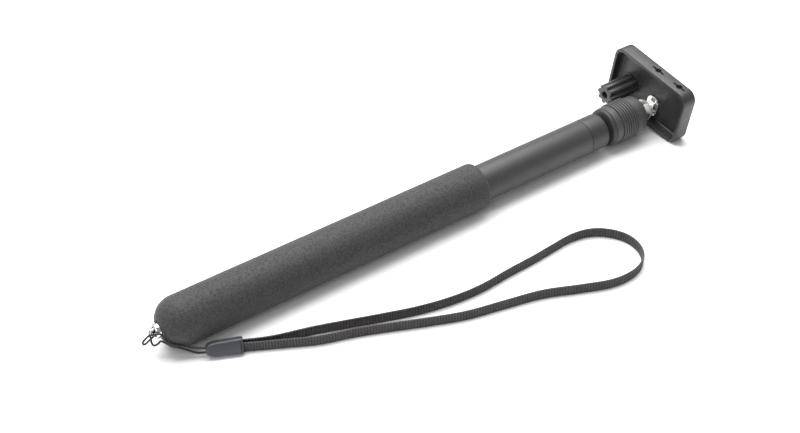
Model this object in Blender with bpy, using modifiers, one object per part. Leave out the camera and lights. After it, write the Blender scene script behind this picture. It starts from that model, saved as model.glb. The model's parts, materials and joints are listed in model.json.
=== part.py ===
"""Telescopic selfie stick, collapsed and lying on a table: grip, five nested tubes, ribbed lock
collar, slotted ball post, tilting camera platform with its thumb knob, and the wrist strap.

Blender 4.5, metres, +Z up. The stick lies along X with its head at +X. The origin is the middle of
the bottom of the stick's own box, without the strap. Lengths below are in millimetres.
"""

import math

import bmesh
import bpy
from mathutils import Matrix, Vector

MM = 0.001
GAP = 0.3              # clearance between two pieces that touch or are pressed together
TUBE_GAP = 0.2         # radial clearance between nested tubes and their bushes

# ---------------------------------------------------------------- driving dimensions
GRIP_RADIUS = 13.0
GRIP_BUTT_X = -141.5   # stations along the stick, counted from a point in front of its middle
GRIP_FRONT_X = 51.5
BUTT_ROUNDING = 12.0

TUBE_RADIUS = 10.25    # handle tube, the largest of five
TUBE_WALL = 0.5
TUBE_STEP = 1.4        # how much smaller in radius each tube is than the one around it
TUBE_REAR_X = -132.0
TUBE_FRONT_X = 127.0
FERRULE_FRONT_X = 139.6
BUSH_REAR_X = 115.0
SLEEVE_FRONT_X = -104.5
SLEEVE_LENGTH = 14.0
SECTION_REAR_X = -119.5
SECTION_FRONT_X = 139.0
SECTION_STAGGER = 0.9  # each inner tube reaches this much further forward than the last

HEAD_BACK_X = 143.0
COLLAR_BACK_X = 145.2
COLLAR_FRONT_X = 169.4
COLLAR_RADIUS = 11.3
RIDGE_RADIUS = 11.9
RIDGE_COUNT = 7
FIRST_RIDGE_X = 150.8
RIDGE_PITCH = 1.75

PIVOT_X = 173.5        # the tilt pin, on the stick's axis
BALL_RADIUS = 6.7
CHEEK_FLAT = 5.3       # half the width across the post's two flats
SLOT_HALF = 1.7
TONGUE_HALF = 1.4
PIN_RADIUS = 1.4

HEAD_ROLL_DEG = 8.0    # the camera platform rests rolled by this much about the stick
PLATE_LENGTH = 58.2
PLATE_WIDTH = 35.0
PLATE_CORNER = 6.5
PLATE_RIM_X = 178.3
PLATE_FLOOR_X = 184.2
PLATE_FACE_X = 187.6
PLATE_WALL = 2.4
PAD_THICKNESS = 1.2
SCREW_REACH = 4.6      # how far the camera screw stands out of the pad
PLATE_CENTRE_Y = 2.7   # the platform isn't centred on the stick
KNOB_U = -19.4         # thumb knob's place along the platform, from the tilt pin
KNOB_V = -3.0
KNOB_BACK_X = 161.8
KNOB_RADIUS = 5.9
KNOB_LOBES = 8
SOCKETS_U = (1.2, 18.3)  # the two mirror sockets along the platform's upper edge, from its middle

EYE_WIRE = 0.55        # radius of the eye screw's wire
EYE_RING = 1.7         # radius of its ring, to the middle of the wire
EYE_X = -143.4
CUP_RADIUS = 3.9       # the cup around the ring stands a little way out of the butt

CORD_RADIUS = 0.55
STRAP_WIDTH = 5.8
STRAP_THICKNESS = 1.2
CONNECTOR_BUTT = (-126.2, -16.4)   # middle of its end at the thin cord, as on the strap's route
CONNECTOR_MOUTH = (-109.5, -24.2)  # middle of its end at the strap
CONNECTOR_WIDTH = 8.0              # across the strap's width
CONNECTOR_THICKNESS = 5.0
CONNECTOR_LEAN_DEG = 20.0          # it stands on its edge like the strap, leaning back by this much
LYING_Z = 0.15 - GRIP_RADIUS       # the strap and connector lie just clear of the table

STEPS = 32             # sides of a large turned piece
FINE_STEPS = 20        # sides of a small turned piece

# ---------------------------------------------------------------- worked out from them
ROLL = math.radians(HEAD_ROLL_DEG)
PAD_FACE_X = PLATE_FACE_X + GAP + PAD_THICKNESS
SCREW_TIP_X = PAD_FACE_X + SCREW_REACH
EYE_TIP_X = EYE_X - EYE_RING - EYE_WIRE
STRAIGHT_U = PLATE_LENGTH / 2 - PLATE_CORNER
STRAIGHT_V = PLATE_WIDTH / 2 - PLATE_CORNER
# The platform's lowest rounded corner touches the table that the grip lies on.
PLATE_REACH_Z = STRAIGHT_U * math.sin(ROLL) + STRAIGHT_V * math.cos(ROLL) + PLATE_CORNER
PLATE_CENTRE_Z = PLATE_REACH_Z - GRIP_RADIUS
ORIGIN = Vector(((EYE_TIP_X + SCREW_TIP_X) / 2, PLATE_CENTRE_Y, -GRIP_RADIUS))

# The head's own directions: along the platform, down it, and out along the stick.
ALONG = Vector((0, -math.cos(ROLL), -math.sin(ROLL)))
OUT = Vector((1, 0, 0))
DOWN = OUT.cross(ALONG)
PLATE_OFFSET = Vector((0, PLATE_CENTRE_Y, PLATE_CENTRE_Z))
PLATE_U = PLATE_OFFSET.dot(ALONG)
PLATE_V = PLATE_OFFSET.dot(DOWN)


# ---------------------------------------------------------------- helpers
def clear_scene():
    for obj in list(bpy.data.objects):
        bpy.data.objects.remove(obj, do_unlink=True)


def new_collection(name):
    collection = bpy.data.collections.new(name)
    bpy.context.scene.collection.children.link(collection)
    return collection


def new_material(name, color, roughness, metallic=0.0):
    material = bpy.data.materials.new(name)
    material.use_nodes = True
    shader = material.node_tree.nodes["Principled BSDF"]
    shader.inputs["Base Color"].default_value = (*color, 1)
    shader.inputs["Roughness"].default_value = roughness
    shader.inputs["Metallic"].default_value = metallic
    return material


def new_empty(name, place, parent=None, directions=None):
    """An empty at a place in millimetres, turned to three directions if they are given."""
    empty = bpy.data.objects.new(name, None)
    PARTS.objects.link(empty)
    empty.empty_display_size = 0.01
    turn = Matrix(directions).transposed().to_4x4() if directions else Matrix()
    empty.matrix_local = Matrix.Translation(Vector(place) * MM) @ turn
    empty.parent = parent
    return empty


def add_object(name, mesh, material, parent, place=(0, 0, 0), turn=(0, 0, 0), cutter=False):
    obj = bpy.data.objects.new(name, mesh)
    (CUTTERS if cutter else PARTS).objects.link(obj)
    obj.parent = parent
    obj.location = Vector(place) * MM
    obj.rotation_euler = turn
    if material:
        mesh.materials.append(material)
    if cutter:
        obj.hide_render = True
        obj.display_type = "WIRE"
    return obj


def arc(radius, centre, start_deg, end_deg, count):
    """Points of an arc, as (across, along) pairs, about a centre given the same way."""
    angles = [math.radians(start_deg + (end_deg - start_deg) * i / count) for i in range(count + 1)]
    return [(centre[0] + radius * math.cos(a), centre[1] + radius * math.sin(a)) for a in angles]


def turned(name, profile, material, parent, steps=STEPS, place=(0, 0, 0), turn=(0, 0, 0),
           cutter=False):
    """A profile of (radius, height) points, from the top down its outer side, spun about local Z.

    A profile that starts and ends off the axis is closed into a ring.
    """
    mesh = bpy.data.meshes.new(name)
    points = [(radius * MM, 0, height * MM) for radius, height in profile]
    edges = [(i, i + 1) for i in range(len(points) - 1)]
    if profile[0][0] > 0:
        edges.append((len(points) - 1, 0))
    mesh.from_pydata(points, edges, [])
    obj = add_object(name, mesh, material, parent, place, turn, cutter)
    spin = obj.modifiers.new("Spin", "SCREW")
    spin.axis = "Z"
    spin.angle = math.tau
    spin.steps = steps
    spin.render_steps = steps
    spin.use_merge_vertices = True
    spin.merge_threshold = 0.00001
    spin.use_smooth_shade = True
    return obj


ALONG_STICK = (0, math.pi / 2, 0)  # turns local Z to the stick's +X


def tube_profile(outer, inner, rear, front):
    return [(inner, front), (outer, front), (outer, rear), (inner, rear)]


def rod_profile(radius, rear, front, lip=0.2):
    return [(0, front), (radius - lip, front), (radius, front - lip), (radius, rear + lip),
            (radius - lip, rear), (0, rear)]


def rod_cutter(name, radius, rear, front, parent, place=(0, 0, 0), turn=(0, 0, 0), steps=FINE_STEPS):
    profile = [(0, front), (radius, front), (radius, rear), (0, rear)]
    return turned(name, profile, None, parent, steps, place, turn, cutter=True)


def box_cutter(name, size, place, parent, turn=(0, 0, 0)):
    mesh = bpy.data.meshes.new(name)
    shape = bmesh.new()
    bmesh.ops.create_cube(shape, size=MM)
    bmesh.ops.scale(shape, vec=size, verts=shape.verts)
    shape.to_mesh(mesh)
    shape.free()
    return add_object(name, mesh, None, parent, place, turn, cutter=True)


def rounded_outline(length, width, corner, arc_count=5):
    """A rounded rectangle's points about its middle, counter-clockwise."""
    corner_u = length / 2 - corner
    corner_v = width / 2 - corner
    points = []
    for sign_u, sign_v, start in ((1, 1, 0), (-1, 1, 90), (-1, -1, 180), (1, -1, 270)):
        points += arc(corner, (sign_u * corner_u, sign_v * corner_v), start, start + 90, arc_count)
    return points


def slab(name, outline, low, high, material, parent, ease=0.0, place=(0, 0, 0), turn=(0, 0, 0),
         cutter=False, flare=1.0):
    """An outline in local XY, filled and given a thickness from low to high along local Z.

    ease rounds its edges; flare makes the low end larger than the high end.
    """
    mesh = bpy.data.meshes.new(name)
    shape = bmesh.new()
    ring = [shape.verts.new((x * MM, y * MM, low * MM)) for x, y in outline]
    base = shape.faces.new(ring)
    extruded = bmesh.ops.extrude_face_region(shape, geom=[base])["geom"]
    top = [item for item in extruded if isinstance(item, bmesh.types.BMVert)]
    bmesh.ops.translate(shape, vec=(0, 0, (high - low) * MM), verts=top)
    bmesh.ops.scale(shape, vec=(flare, flare, 1), verts=ring)
    bmesh.ops.recalc_face_normals(shape, faces=shape.faces)
    shape.to_mesh(mesh)
    shape.free()
    obj = add_object(name, mesh, material, parent, place, turn, cutter)
    if ease:
        rounding = obj.modifiers.new("Eased edges", "BEVEL")
        rounding.width = ease * MM
        rounding.segments = 2
        rounding.limit_method = "ANGLE"
        rounding.angle_limit = math.radians(50)
    return obj


def cut(obj, *cutters):
    for cutter in cutters:
        modifier = obj.modifiers.new("Cut " + cutter.name, "BOOLEAN")
        modifier.operation = "DIFFERENCE"
        modifier.object = cutter


def join(obj, *others):
    for other in others:
        modifier = obj.modifiers.new("Join " + other.name, "BOOLEAN")
        modifier.operation = "UNION"
        modifier.object = other


def smooth_route(points, count):
    """Evenly spaced points on a Catmull-Rom curve through hand-set ones."""
    ends = [2 * points[0] - points[1], *points, 2 * points[-1] - points[-2]]
    fine = []
    for before, start, end, after in zip(ends, ends[1:], ends[2:], ends[3:]):
        for i in range(24):
            t = i / 24
            fine.append(0.5 * (2 * start + (end - before) * t
                               + (2 * before - 5 * start + 4 * end - after) * t * t
                               + (3 * start - before - 3 * end + after) * t ** 3))
    fine.append(points[-1])
    travelled = [0.0]
    for start, end in zip(fine, fine[1:]):
        travelled.append(travelled[-1] + (end - start).length)
    route = []
    step = 0
    for i in range(count):
        wanted = travelled[-1] * i / (count - 1)
        while step < len(fine) - 2 and travelled[step + 1] < wanted:
            step += 1
        part = (wanted - travelled[step]) / (travelled[step + 1] - travelled[step])
        route.append(fine[step].lerp(fine[step + 1], part))
    return route


def cord_curve(name, route, material, radius, half_height=0.0):
    """A cord along a route in millimetres. With a half height it is a strap standing on its edge."""
    curve = bpy.data.curves.new(name, "CURVE")
    curve.dimensions = "2D" if half_height else "3D"
    curve.fill_mode = "NONE" if half_height else "FULL"
    curve.bevel_depth = radius * MM
    curve.bevel_resolution = 0 if half_height else 2
    curve.extrude = half_height * MM
    curve.use_fill_caps = True
    spline = curve.splines.new("POLY")
    spline.points.add(len(route) - 1)
    level = route[0].z if half_height else 0
    for point, place in zip(spline.points, route):
        point.co = (place.x * MM, place.y * MM, (place.z - level) * MM, 1)
    obj = add_object(name, curve, None, STICK, (0, 0, level))
    curve.materials.append(material)
    return obj


# ---------------------------------------------------------------- grip
def make_grip():
    butt = GRIP_BUTT_X
    bore = TUBE_RADIUS + GAP
    outer = [(bore + 0.4, GRIP_FRONT_X)]
    outer += arc(1.9, (GRIP_RADIUS - 1.9, GRIP_FRONT_X - 1.9), 80, 0, 4)
    outer += arc(BUTT_ROUNDING, (GRIP_RADIUS - BUTT_ROUNDING, butt + BUTT_ROUNDING), 0, -73, 8)
    inner = [(4.2, butt + 0.6), (4.2, TUBE_REAR_X - 2.5), (bore, TUBE_REAR_X - 2.5),
             (bore, GRIP_FRONT_X - 0.5)]
    turned("foam_grip", outer + inner, FOAM, STICK, STEPS, turn=ALONG_STICK)

    inside = TUBE_RADIUS - TUBE_WALL - TUBE_GAP
    plug = [(1.6, TUBE_REAR_X + 7), (inside - 1, TUBE_REAR_X + 7), (inside, TUBE_REAR_X + 6),
            (inside, TUBE_REAR_X - GAP), (TUBE_RADIUS, TUBE_REAR_X - GAP),
            (TUBE_RADIUS, TUBE_REAR_X - 2.2), (3.9, TUBE_REAR_X - 2.2),
            (3.9, butt + 1.6), (1.6, butt + 1.6)]
    turned("grip_end_plug", plug, BLACK_PLASTIC, STICK, STEPS, turn=ALONG_STICK)


def make_eye():
    """Screw eye in the butt: a cup, a ring on a shank inside it, and the nut inside the end plug."""
    butt = GRIP_BUTT_X
    cup = [(1.6, butt + 1.3), (CUP_RADIUS, butt + 1.3), (CUP_RADIUS, butt - 1.4),
           (CUP_RADIUS - 0.4, butt - 2.0), (CUP_RADIUS - 0.8, butt - 2.0),
           (CUP_RADIUS - 1.2, butt - 1.5), (CUP_RADIUS - 1.3, butt + 0.2), (1.6, butt + 0.5)]
    turned("eye_washer", cup, CHROME, STICK, FINE_STEPS, turn=ALONG_STICK)

    shank_end = TUBE_REAR_X + 11
    shank = [(0, shank_end), (1.0, shank_end), (1.2, shank_end - 0.3), (1.2, butt + 0.1),
             (0.7, EYE_X + EYE_RING), (0, EYE_X + EYE_RING)]
    eye = turned("eye_screw", shank, CHROME, STICK, 16, turn=ALONG_STICK)
    bpy.ops.mesh.primitive_torus_add(major_radius=EYE_RING * MM, minor_radius=EYE_WIRE * MM,
                                     major_segments=20, minor_segments=8)
    ring = bpy.context.object
    mesh = ring.data
    bpy.data.objects.remove(ring)
    ring = add_object("eye_ring", mesh, None, STICK, (EYE_X, 0, 0), (math.pi / 2, 0, 0), cutter=True)
    join(eye, ring)

    nut = slab("eye_nut", arc(2.9, (0, 0), 0, 300, 5), TUBE_REAR_X + 7 + GAP, TUBE_REAR_X + 9.5,
               STEEL, STICK, turn=ALONG_STICK)
    cut(nut, rod_cutter("eye_nut_hole", 1.6, TUBE_REAR_X, TUBE_REAR_X + 20, STICK,
                        turn=ALONG_STICK))


# ---------------------------------------------------------------- telescoping tubes
def make_tubes():
    """The handle tube with its front ferrule, then four inner tubes with a rear sleeve each.

    Every tube but the last has a guide bush in its mouth. The tube that slides in it stops when
    its rear sleeve meets the back of that bush.
    """
    outer = TUBE_RADIUS
    inner = outer - TUBE_WALL
    turned("handle_tube", tube_profile(outer, inner, TUBE_REAR_X, TUBE_FRONT_X),
           TUBE_BLACK, STICK, STEPS, turn=ALONG_STICK)
    guide = outer - TUBE_STEP + TUBE_GAP
    ferrule = [(guide + 0.3, FERRULE_FRONT_X), (outer - 0.6, FERRULE_FRONT_X)]
    ferrule += arc(0.6, (outer - 0.6, FERRULE_FRONT_X - 0.6), 60, 0, 2)
    ferrule += [(outer, TUBE_FRONT_X + GAP + 0.2), (outer - 0.2, TUBE_FRONT_X + GAP),
                (inner - TUBE_GAP, TUBE_FRONT_X + GAP), (inner - TUBE_GAP, BUSH_REAR_X),
                (guide, BUSH_REAR_X), (guide, FERRULE_FRONT_X - 0.4)]
    turned("tube_ferrule", ferrule, BLACK_PLASTIC, STICK, STEPS, turn=ALONG_STICK)

    for number in (2, 3, 4, 5):
        around = inner
        outer -= TUBE_STEP
        inner = outer - TUBE_WALL
        last = number == 5
        stagger = (number - 2) * SECTION_STAGGER
        front = HEAD_BACK_X + 9 if last else SECTION_FRONT_X + stagger
        rear = SECTION_REAR_X
        turned(f"section_{number}_tube", tube_profile(outer, inner, rear, front),
               TUBE_BLACK if last else TUBE_SILVER, STICK, STEPS, turn=ALONG_STICK)
        sleeve = tube_profile(around - TUBE_GAP, outer + TUBE_GAP, SLEEVE_FRONT_X - SLEEVE_LENGTH,
                              SLEEVE_FRONT_X)
        turned(f"section_{number}_sleeve", sleeve, BRASS, STICK, STEPS, turn=ALONG_STICK)
        if last:
            turned("section_5_plug", rod_profile(inner - TUBE_GAP, rear + 0.5, rear + 8),
                   BLACK_PLASTIC, STICK, FINE_STEPS, turn=ALONG_STICK)
            continue
        guide = outer - TUBE_STEP + TUBE_GAP
        lip = front + 0.6
        bush = [(guide + 0.1, lip), (outer - 0.1, lip), (outer, lip - 0.1), (outer, front + 0.2),
                (inner - TUBE_GAP, front + 0.2), (inner - TUBE_GAP, BUSH_REAR_X),
                (guide, BUSH_REAR_X), (guide, lip - 0.1)]
        turned(f"section_{number}_bush", bush, BLACK_PLASTIC, STICK, STEPS, turn=ALONG_STICK)
    return outer


# ---------------------------------------------------------------- head on the last tube
def make_head(last_radius):
    socket = last_radius + GAP
    back = HEAD_BACK_X
    spigot = 8.6
    spigot_end = 160.0
    post_hole = 4.5
    base = [(post_hole, spigot_end), (spigot - 0.5, spigot_end), (spigot, spigot_end - 0.5),
            (spigot, back + 1.9), (COLLAR_RADIUS - 0.5, back + 1.9),
            (COLLAR_RADIUS - 0.2, back + 1.6), (COLLAR_RADIUS - 0.6, back + 0.7),
            (COLLAR_RADIUS - 1.6, back), (socket + 0.3, back), (socket, back + 0.3),
            (socket, back + 9.5), (post_hole, back + 9.5)]
    turned("head_base", base, BLACK_PLASTIC, STICK, STEPS, turn=ALONG_STICK)

    pocket = 9.6
    mouth = 7.4
    end = COLLAR_FRONT_X
    outer = [(mouth + 0.4, end), (10.0, end)]
    outer += arc(0.7, (10.0, end - 0.7), 75, 10, 3)
    for i in reversed(range(RIDGE_COUNT)):
        middle = FIRST_RIDGE_X + i * RIDGE_PITCH
        outer += [(COLLAR_RADIUS, middle + RIDGE_PITCH / 2), (RIDGE_RADIUS, middle)]
    outer += [(COLLAR_RADIUS, FIRST_RIDGE_X - RIDGE_PITCH / 2),
              (COLLAR_RADIUS, COLLAR_BACK_X + 0.5), (COLLAR_RADIUS - 0.4, COLLAR_BACK_X)]
    inner = [(spigot + GAP + 0.3, COLLAR_BACK_X), (spigot + GAP, COLLAR_BACK_X + 0.4),
             (spigot + GAP, spigot_end + 0.6), (pocket, spigot_end + 0.6), (pocket, end - 1.8),
             (mouth, end - 1.8), (mouth, end - 0.3)]
    turned("lock_collar", outer + inner, COLLAR_BLACK, STICK, STEPS, turn=ALONG_STICK)

    ring = [(BALL_RADIUS + 0.7, end - 2.1), (pocket - GAP - 0.4, end - 2.1),
            (pocket - GAP, end - 2.6), (pocket - GAP, end - 8.0), (BALL_RADIUS + GAP, end - 8.0),
            (BALL_RADIUS + GAP, end - 3.6)]
    turned("squeeze_ring", ring, BRASS, STICK, STEPS, turn=ALONG_STICK)

    shoulder = spigot_end + GAP - PIVOT_X
    shank_end = back + 12 - PIVOT_X
    post = arc(BALL_RADIUS, (0, 0), 90, 0, 8)
    post[0] = (0, BALL_RADIUS)
    post += [(BALL_RADIUS, shoulder), (post_hole - GAP, shoulder), (post_hole - GAP, shank_end),
             (0, shank_end)]
    ball = turned("tilt_post", post, CHROME, HEAD, STEPS)
    slot_depth = 9.5
    slot = box_cutter("post_slot", (2 * SLOT_HALF, 20, slot_depth + 10),
                      (0, 0, (10 - slot_depth) / 2), HEAD)
    flats = [box_cutter(f"post_flat_{side:+d}", (4, 20, 13), (side * (CHEEK_FLAT + 2), 0, 3.8), HEAD)
             for side in (-1, 1)]
    hole = rod_cutter("post_pin_hole", PIN_RADIUS + GAP, -20, 20, HEAD, turn=(0, math.pi / 2, 0))
    cut(ball, slot, *flats, hole)

    head_x = CHEEK_FLAT + GAP
    pin = [(0, head_x + 0.8), (1.4, head_x + 0.7), (2.3, head_x), (PIN_RADIUS, head_x),
           (PIN_RADIUS, -head_x), (2.3, -head_x), (1.4, -head_x - 0.7), (0, -head_x - 0.8)]
    turned("tilt_pin", pin, CHROME, HEAD, 16, turn=(0, math.pi / 2, 0))


# ---------------------------------------------------------------- camera platform
def make_tongue():
    """Hinge bracket: a round-ended blade in the post's slot, and the foot riveted to the platform."""
    foot_top = PLATE_FLOOR_X - GAP - PIVOT_X
    foot_bottom = foot_top - 1.5
    eye = 5.0
    outline = arc(eye, (0, 0), 180, 360, 10)
    outline += arc(2.5, (5.2, foot_top - 1.2 - 2.5), 180, 110, 3)
    outline += [(4.6, foot_top - 0.7), (-4.6, foot_top - 0.7)]
    outline += arc(2.5, (-5.2, foot_top - 1.2 - 2.5), 70, 0, 3)
    blade = slab("hinge_tongue", outline, -TONGUE_HALF, TONGUE_HALF, CHROME, HEAD,
                 turn=(math.pi / 2, 0, math.pi / 2))
    foot = slab("tongue_foot", rounded_outline(8.6, 13.0, 3.4), foot_bottom, foot_top, None,
                HEAD, ease=0.35, cutter=True)
    join(blade, foot)
    cut(blade, rod_cutter("tongue_pin_hole", PIN_RADIUS + GAP, -10, 10, HEAD,
                          turn=(0, math.pi / 2, 0)))
    for name, side in (("upper", -1), ("lower", 1)):
        place = (2.7, side * 4.3, 0)
        cut(blade, rod_cutter(f"tongue_rivet_hole_{name}", 0.95, 0, 20, HEAD, place, steps=12))
        head = foot_bottom - GAP
        end = PLATE_FACE_X - 1.6 - PIVOT_X
        rivet = [(0, end), (0.65, end), (0.65, head), (1.25, head), (1.15, head - 0.5),
                 (0.6, head - 0.8), (0, head - 0.85)]
        turned(f"rivet_{name}", rivet, CHROME, HEAD, 16, place)


def make_platform():
    rim = PLATE_RIM_X - PIVOT_X
    floor = PLATE_FLOOR_X - PIVOT_X
    face = PLATE_FACE_X - PIVOT_X
    middle = (PLATE_U, PLATE_V, 0)
    outline = rounded_outline(PLATE_LENGTH, PLATE_WIDTH, PLATE_CORNER, 6)
    plate = slab("camera_platform", outline, rim, face, PLATFORM_BLACK, HEAD, ease=0.7, place=middle)
    inside = 2 * PLATE_WALL
    dish = slab("dish_recess", rounded_outline(PLATE_LENGTH - inside, PLATE_WIDTH - inside,
                                               PLATE_CORNER - PLATE_WALL + 0.4),
                rim - 2, floor, None, HEAD, place=middle, cutter=True, flare=1.02)
    knob = (KNOB_U, KNOB_V, 0)
    screw_hole = rod_cutter("camera_screw_hole", 3.5, 0, 30, HEAD, knob)
    clip_recess = rod_cutter("clip_recess", 5.2, face - 1.5, 30, HEAD, knob)
    cut(plate, dish, screw_hole, clip_recess)
    for side in (-1, 1):
        cut(plate, rod_cutter(f"plate_rivet_hole_{side:+d}", 0.95, 0, face - 1.2, HEAD,
                              (2.7, side * 4.3, 0), steps=12))
    # Each mirror socket is a round hole in the upper edge, crossed by a slit along the edge.
    edge_v = PLATE_V - PLATE_WIDTH / 2
    socket_w = rim + 4.7
    for number, socket_u in enumerate(SOCKETS_U):
        place = (PLATE_U + socket_u, edge_v, socket_w)
        round_hole = rod_cutter(f"socket_hole_{number}", 1.9, -5, 6.5, HEAD, place,
                                (-math.pi / 2, 0, 0), steps=16)
        slit = box_cutter(f"socket_slit_{number}", (8.8, 9, 1.2), (place[0], edge_v + 1.5, socket_w),
                          HEAD)
        cut(plate, round_hole, slit)

    pad = slab("rubber_pad", rounded_outline(PLATE_LENGTH - 4, PLATE_WIDTH - 4, PLATE_CORNER - 2),
               face + GAP, face + GAP + PAD_THICKNESS, RUBBER, HEAD, ease=0.4, place=middle)
    cut(pad, rod_cutter("pad_hole", 4.2, 0, 30, HEAD, knob))


def make_camera_screw():
    """The thumb knob drives a quarter-inch screw, which an e-clip holds in the platform."""
    floor = PLATE_FLOOR_X - PIVOT_X
    face = PLATE_FACE_X - PIVOT_X
    back = KNOB_BACK_X - PIVOT_X
    top = floor - GAP - 0.8 - GAP
    knob_at = (KNOB_U, KNOB_V, 0)

    outline = []
    lobe_deg = 360 / KNOB_LOBES
    for i in range(KNOB_LOBES):
        for share, radius in ((-0.26, 1.0), (0.0, 1.04), (0.26, 1.0), (0.38, 0.80), (0.62, 0.80)):
            angle = math.radians((i + share) * lobe_deg)
            outline.append((KNOB_RADIUS * radius * math.cos(angle),
                            KNOB_RADIUS * radius * math.sin(angle)))
    knob = slab("star_knob", outline, back, top, GLOSS_PLASTIC, HEAD, place=knob_at)
    cut(knob, rod_cutter("knob_bore", 3.45, back + 4, 30, HEAD, knob_at),
        rod_cutter("knob_mouth", 2.1, back - 5, back + 5, HEAD, knob_at))

    washer = tube_profile(5.0, 3.45, floor - GAP - 0.8, floor - GAP)
    turned("knob_washer", washer, STEEL, HEAD, FINE_STEPS, knob_at)

    tip = SCREW_TIP_X - PIVOT_X
    screw = [(0, tip), (2.5, tip), (3.1, tip - 0.6), (3.1, face - 0.4), (2.6, face - 0.4),
             (2.6, face - 1.4), (3.1, face - 1.4), (3.1, back + 4.6), (0, back + 4.6)]
    turned("camera_screw", screw, STEEL, HEAD, FINE_STEPS, knob_at)

    clip = slab("screw_clip", arc(4.7, (0, 0), 20, 340, 20), face - 1.15, face - 0.6, STEEL, HEAD,
                place=knob_at)
    cut(clip, rod_cutter("clip_hole", 2.85, 0, 30, HEAD, knob_at),
        box_cutter("clip_mouth", (8, 3.2, 8), (5.0 + KNOB_U, KNOB_V, face - 1), HEAD))


# ---------------------------------------------------------------- wrist strap
# The strap's route on the table, from the connector round the loop and back: x and y from the
# stick's own zero point and axis.
STRAP_ROUTE = [
    (-108.3, -22.5), (-96.0, -28.2), (-77.5, -34.0), (-62.0, -39.8), (-45.4, -46.2),
    (-28.0, -52.4), (-10.0, -56.6), (8.0, -58.2), (26.0, -57.2), (44.0, -56.6), (58.0, -55.6),
    (71.0, -55.0), (82.0, -57.4), (90.0, -63.6), (94.6, -72.4), (94.2, -82.0), (88.6, -90.4),
    (78.0, -94.8), (64.0, -94.0), (48.0, -87.6), (30.0, -79.6), (10.0, -74.4), (-10.0, -69.4),
    (-28.0, -62.2), (-46.0, -54.0), (-62.0, -47.2), (-78.0, -41.6), (-92.0, -34.2),
    (-109.3, -24.62),
]
# The thin cord: out of the connector, up through the eye, round its two small loops, and back.
CORD_ROUTE = [
    (-126.5, -16.0, -7.9), (-128.9, -14.8, -7.3), (-132.0, -12.9, -6.6), (-134.7, -11.8, -5.0),
    (-137.1, -10.7, -4.2), (-139.5, -8.6, -3.5), (-141.2, -6.4, -1.4), (-142.0, -5.65, 1.1),
    (-142.6, -5.0, 2.0), (-144.0, -4.1, 1.8), (-145.2, -2.6, 1.2), (-146.8, -1.0, -0.1),
    (-148.3, 0.0, -2.0), (-149.5, 0.3, -3.4), (-149.8, -0.3, -4.3), (-149.0, -1.0, -4.0),
    (-147.1, -1.8, -2.0), (-144.95, -2.4, -0.1), (-143.85, 0.0, 0.0), (-144.7, 1.9, -0.6),
    (-145.2, 1.6, -2.3), (-145.2, 0.6, -3.9), (-145.5, 0.2, -5.9), (-145.0, -1.3, -7.0),
    (-143.5, -2.9, -5.4), (-142.4, -3.7, -3.8), (-141.2, -5.3, -4.0), (-139.2, -8.4, -5.1),
    (-136.9, -10.3, -5.9), (-133.9, -11.0, -8.2), (-131.2, -12.5, -10.0), (-128.7, -14.7, -10.6),
    (-126.7, -16.3, -10.5),
]


def make_strap():
    strap_z = LYING_Z + STRAP_WIDTH / 2
    strap_points = [Vector((x, y, strap_z)) for x, y in STRAP_ROUTE]
    cord_curve("wrist_strap", smooth_route(strap_points, 56), STRAP_WEBBING, STRAP_THICKNESS / 2,
               (STRAP_WIDTH - STRAP_THICKNESS) / 2)
    cord_points = [Vector(point) for point in CORD_ROUTE]
    cord_curve("strap_cord", smooth_route(cord_points, 84), CORD_BLACK, CORD_RADIUS)

    # The connector: two moulded shells on either side of the strap's ends, narrower at the cord.
    butt = Vector(CONNECTOR_BUTT)
    mouth = Vector(CONNECTOR_MOUTH)
    middle = (butt + mouth) / 2
    turn = math.atan2(mouth.y - butt.y, mouth.x - butt.x)
    half_l = (mouth - butt).length / 2 - GAP
    half_w = CONNECTOR_WIDTH / 2
    near = [(half_l, half_w - 0.5), (half_l - 0.5, half_w), (-half_l + 4.6, half_w * 0.9),
            (-half_l + 2.2, half_w * 0.81), (-half_l + 0.8, half_w * 0.65), (-half_l, half_w * 0.4)]
    outline = near + [(x, -y) for x, y in reversed(near)]
    half_t = CONNECTOR_THICKNESS / 2
    lean = math.radians(CONNECTOR_LEAN_DEG)
    middle_z = LYING_Z + half_w * math.cos(lean) + half_t * math.sin(lean) - 0.4
    for name, low, high in (("lower", -half_t, -0.1), ("upper", 0.1, half_t)):
        slab(f"connector_{name}", outline, low, high, CONNECTOR_PLASTIC, STICK, ease=0.6,
             place=(middle.x, middle.y, middle_z), turn=(math.pi / 2 - lean, 0, turn))


clear_scene()
PARTS = new_collection("Selfie stick")
CUTTERS = new_collection("Cutters")

FOAM = new_material("Foam grip", (0.045, 0.045, 0.047), 0.85)
TUBE_BLACK = new_material("Black anodised tube", (0.035, 0.035, 0.037), 0.42, 0.6)
TUBE_SILVER = new_material("Polished tube", (0.6, 0.6, 0.6), 0.3, 1.0)
BLACK_PLASTIC = new_material("Black plastic", (0.03, 0.03, 0.032), 0.5)
COLLAR_BLACK = new_material("Collar plastic", (0.05, 0.05, 0.053), 0.5)
PLATFORM_BLACK = new_material("Platform plastic", (0.025, 0.025, 0.028), 0.45)
GLOSS_PLASTIC = new_material("Knob plastic", (0.015, 0.015, 0.018), 0.25)
CONNECTOR_PLASTIC = new_material("Connector plastic", (0.06, 0.065, 0.075), 0.4)
CHROME = new_material("Chrome", (0.8, 0.8, 0.8), 0.08, 1.0)
STEEL = new_material("Steel", (0.55, 0.55, 0.55), 0.3, 1.0)
BRASS = new_material("Brass", (0.75, 0.55, 0.25), 0.3, 1.0)
RUBBER = new_material("Rubber pad", (0.02, 0.02, 0.02), 0.8)
STRAP_WEBBING = new_material("Strap webbing", (0.04, 0.037, 0.035), 0.8)
CORD_BLACK = new_material("Thin cord", (0.02, 0.02, 0.02), 0.6)

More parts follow.
